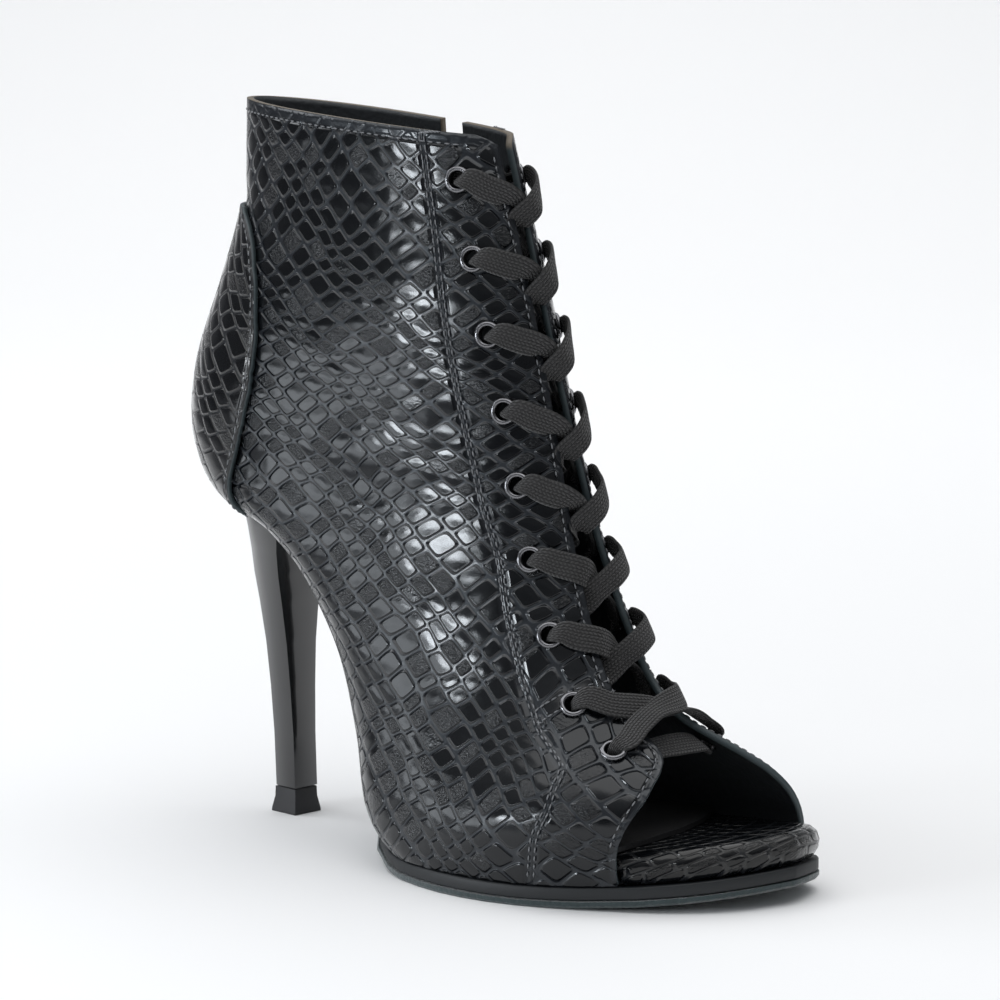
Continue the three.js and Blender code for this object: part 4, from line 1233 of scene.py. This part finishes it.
def inset_row(tree, line, inset, towards):
    """A row at a distance inside a cut edge; towards is a point on the leather's side."""
    line = dense(line)
    tangent = np.gradient(line, axis=0)
    row = []
    for q, d in zip(line, tangent):
        hit, normal = on_leather(tree, q)
        if hit is None:
            continue
        inward = normal.cross(Vector(d)).normalized()
        goal = Vector(towards(q)) - Vector(q)
        inward = inward if inward.dot(goal) > 0 else -inward
        row.append(Vector(q) + inward * inset)
    return [tuple(v) for v in row]


STITCH_PITCH, FINE_STEP, BESIDE = 2.7, 0.25, 4
# half the distance between the seam's two rows, and how far the other rows lie from their edges
TWIN_ROW = 0.8
FRONT_INSET, COLLAR_INSET, COUNTER_INSET = 2.2, 3.4, 1.5
stitch_sites = []


def sew(tree, line, keep=lambda q: True):
    line = dense(line, FINE_STEP)
    step = round(STITCH_PITCH / FINE_STEP)
    for i in range(step, len(line) - step, step):
        a, b = on_leather(tree, line[i - BESIDE]), on_leather(tree, line[i + BESIDE])
        hit, normal = on_leather(tree, line[i])
        if hit is None or a[0] is None or b[0] is None or not keep(line[i]):
            continue
        stitch_sites.append((hit, normal, (b[0] - a[0]).normalized()))


def side_point(x, z, side):
    """Where a line straight across the boot meets the outer or inner side."""
    hit = upper_tree.ray_cast(place((x, side * 90, z)), Vector((0, -side, 0)))[0]
    return None if hit is None else tuple(hit / MM + ORIGIN)


for side in (-1, 1):
    for shift in (-TWIN_ROW, TWIN_ROW):
        row = [side_point(x + shift, z - shift * 0.3, side) for x, z in seam_line[10:]]
        sew(upper_tree, [q for q in row if q is not None])
    front = rims[side][3:-2, 0]
    sew(upper_tree, inset_row(upper_tree, front, FRONT_INSET,
                              lambda q: (q[0] - 20, side * 40, q[2] - 6)))
    collar = rims[side][0, 2:-1]
    sew(upper_tree, inset_row(upper_tree, collar, COLLAR_INSET, lambda q: (q[0], q[1], q[2] - 20)),
        keep=lambda q: side < 0 or abs(q[0] - NOTCH_X) >= NOTCH_CLEAR)
    edge = rims["counter", side][:, 0]
    sew(counter_tree, inset_row(counter_tree, edge, COUNTER_INSET,
                                lambda q: (q[0] - 30, q[1], q[2])))
print("stitches:", len(stitch_sites))

# %% the stitches as one piece
def build_stitches(length=2.1, radius=0.27):
    bm = bmesh.new()
    for hit, normal, along in stitch_sites:
        normal = (normal - along * normal.dot(along)).normalized()
        turn = Matrix((along, normal.cross(along), normal)).transposed().to_4x4()
        size = Matrix.Diagonal((length / 2 * MM, radius * MM, radius * MM, 1))
        where = Matrix.Translation(hit + normal * 0.1 * MM)
        bmesh.ops.create_icosphere(bm, subdivisions=1, radius=1, matrix=where @ turn @ size)
    return bm


stitches = finished(build_stitches(), "stitches", [THREAD])
print("stitch faces:", len(stitches.data.polygons))

# %% [markdown]
# ## Studio
#
# The boot stands on a white paper sweep, lit like a product: a wide soft light overhead,
# panels on the left that glance off the polished scales, and one that lights the paper
# behind. On the left, outside the picture, the paper's colour is painted dark: painted
# shade, as no light reaches it there.

# %% lamps and sky
COOL = (0.9, 0.95, 1.0)
# name, place, point it faces, width and height in metres, power in watts, colour
PANELS = [
    ("front_left_panel", (-0.34, -1.25, 0.265), (0, 0, 0.2), 0.44, 0.12, 5.2, COOL),
    ("near_left_panel", (-0.36, -0.50, 0.09), (0.04, -0.02, 0.05), 0.34, 0.12, 0.45, COOL),
    ("left_panel", (-1.15, -0.45, 0.95), (0, 0, 0.05), 0.6, 0.5, 3, (0.93, 0.96, 1.0)),
    ("overhead", (0, 0, 1.6), (0, 0, 0), 2.4, 2.4, 26, (1, 1, 1)),
    ("backdrop_panel", (-0.8, 0.8, 1.5), (-2.0, 2.0, 0.5), 1.4, 1.4, 9.5, (1, 1, 1)),
]
# upward part of a ray at which the sky starts and stops to brighten, and its strength there
SKY_FROM, SKY_TO, SKY_LOW, SKY_HIGH = 0.05, 0.8, 0.1, 0.42
SKY_COLOUR = (0.93, 0.96, 1.0, 1)


def panel(name, where, aim, width, height, power, colour):
    lamp = bpy.data.lights.new(name, "AREA")
    lamp.shape, lamp.size, lamp.size_y = "RECTANGLE", width, height
    lamp.energy, lamp.color = power, colour
    held = bpy.data.objects.new(name, lamp)
    bpy.context.scene.collection.objects.link(held)
    held.location = where
    held.rotation_euler = (Vector(aim) - Vector(where)).to_track_quat("-Z", "Y").to_euler()


for row in PANELS:
    panel(*row)
world = bpy.data.worlds.new("studio")
world.use_nodes = True
sky = world.node_tree
upward = sky.nodes.new("ShaderNodeSeparateXYZ")
sky.links.new(sky.nodes.new("ShaderNodeTexCoord").outputs["Generated"], upward.inputs[0])
ramp = sky.nodes.new("ShaderNodeMapRange")
ramp.interpolation_type = "SMOOTHSTEP"
sky.links.new(upward.outputs[2], ramp.inputs[0])
for socket, value in zip(ramp.inputs[1:], (SKY_FROM, SKY_TO, SKY_LOW, SKY_HIGH)):
    socket.default_value = value
sky.nodes["Background"].inputs[0].default_value = SKY_COLOUR
sky.links.new(ramp.outputs[0], sky.nodes["Background"].inputs[1])
bpy.context.scene.world = world
bpy.context.scene.view_settings.view_transform = "Standard"
print("panels:", len(PANELS))

# %% paper sweep
# half the paper's side, and how far behind the boot its curve starts and how long it is, in metres
PAPER_HALF, CURVE_START, CURVE_LONG = 5, 1.2, 2.0
CURVE_STEEP = 0.35
# place to the side over the distance ahead, where the paper is fully dark and fully pale; the dark is
# painted shade
DARK_FROM, PALE_FROM = -0.38, -0.14
STAND_BACK, LEAST_AHEAD = 2.2, 0.8


def sweep(behind):
    """Height of the paper: flat, then curved, then a straight slope."""
    rise = max(0.0, behind - CURVE_START)
    curved = min(rise, CURVE_LONG)
    return CURVE_STEEP * curved * (2 * rise - curved)


def paper(name):
    sh = Shader(name)
    x, y, _ = sh.split(sh.here())
    aside, ahead = sh.add(x, y), sh.sub(y, x)
    share = sh.div(aside, sh.math("MAXIMUM", sh.add(ahead, STAND_BACK), LEAST_AHEAD))
    # painted shade: the paper's colour goes dark to the left, outside the picture, so that the
    # polished leather reflects dark there
    pale = sh.step(share, DARK_FROM, PALE_FROM)
    colour = sh.mix(pale, (0.2, 0.2, 0.21, 1), (0.94, 0.94, 0.942, 1))
    return sh.set(Base_Color=colour, Roughness=0.9)


floor_bm = bmesh.new()
bmesh.ops.create_grid(floor_bm, x_segments=4, y_segments=60, size=PAPER_HALF)
for v in floor_bm.verts:
    v.co.z = sweep(v.co.y)
bmesh.ops.rotate(floor_bm, verts=floor_bm.verts, cent=(0, 0, 0), matrix=Matrix.Rotation(TURN, 3, "Z"))
floor = shown(floor_bm, "floor", [paper("backdrop_paper")])
print("paper faces:", len(floor.data.polygons))
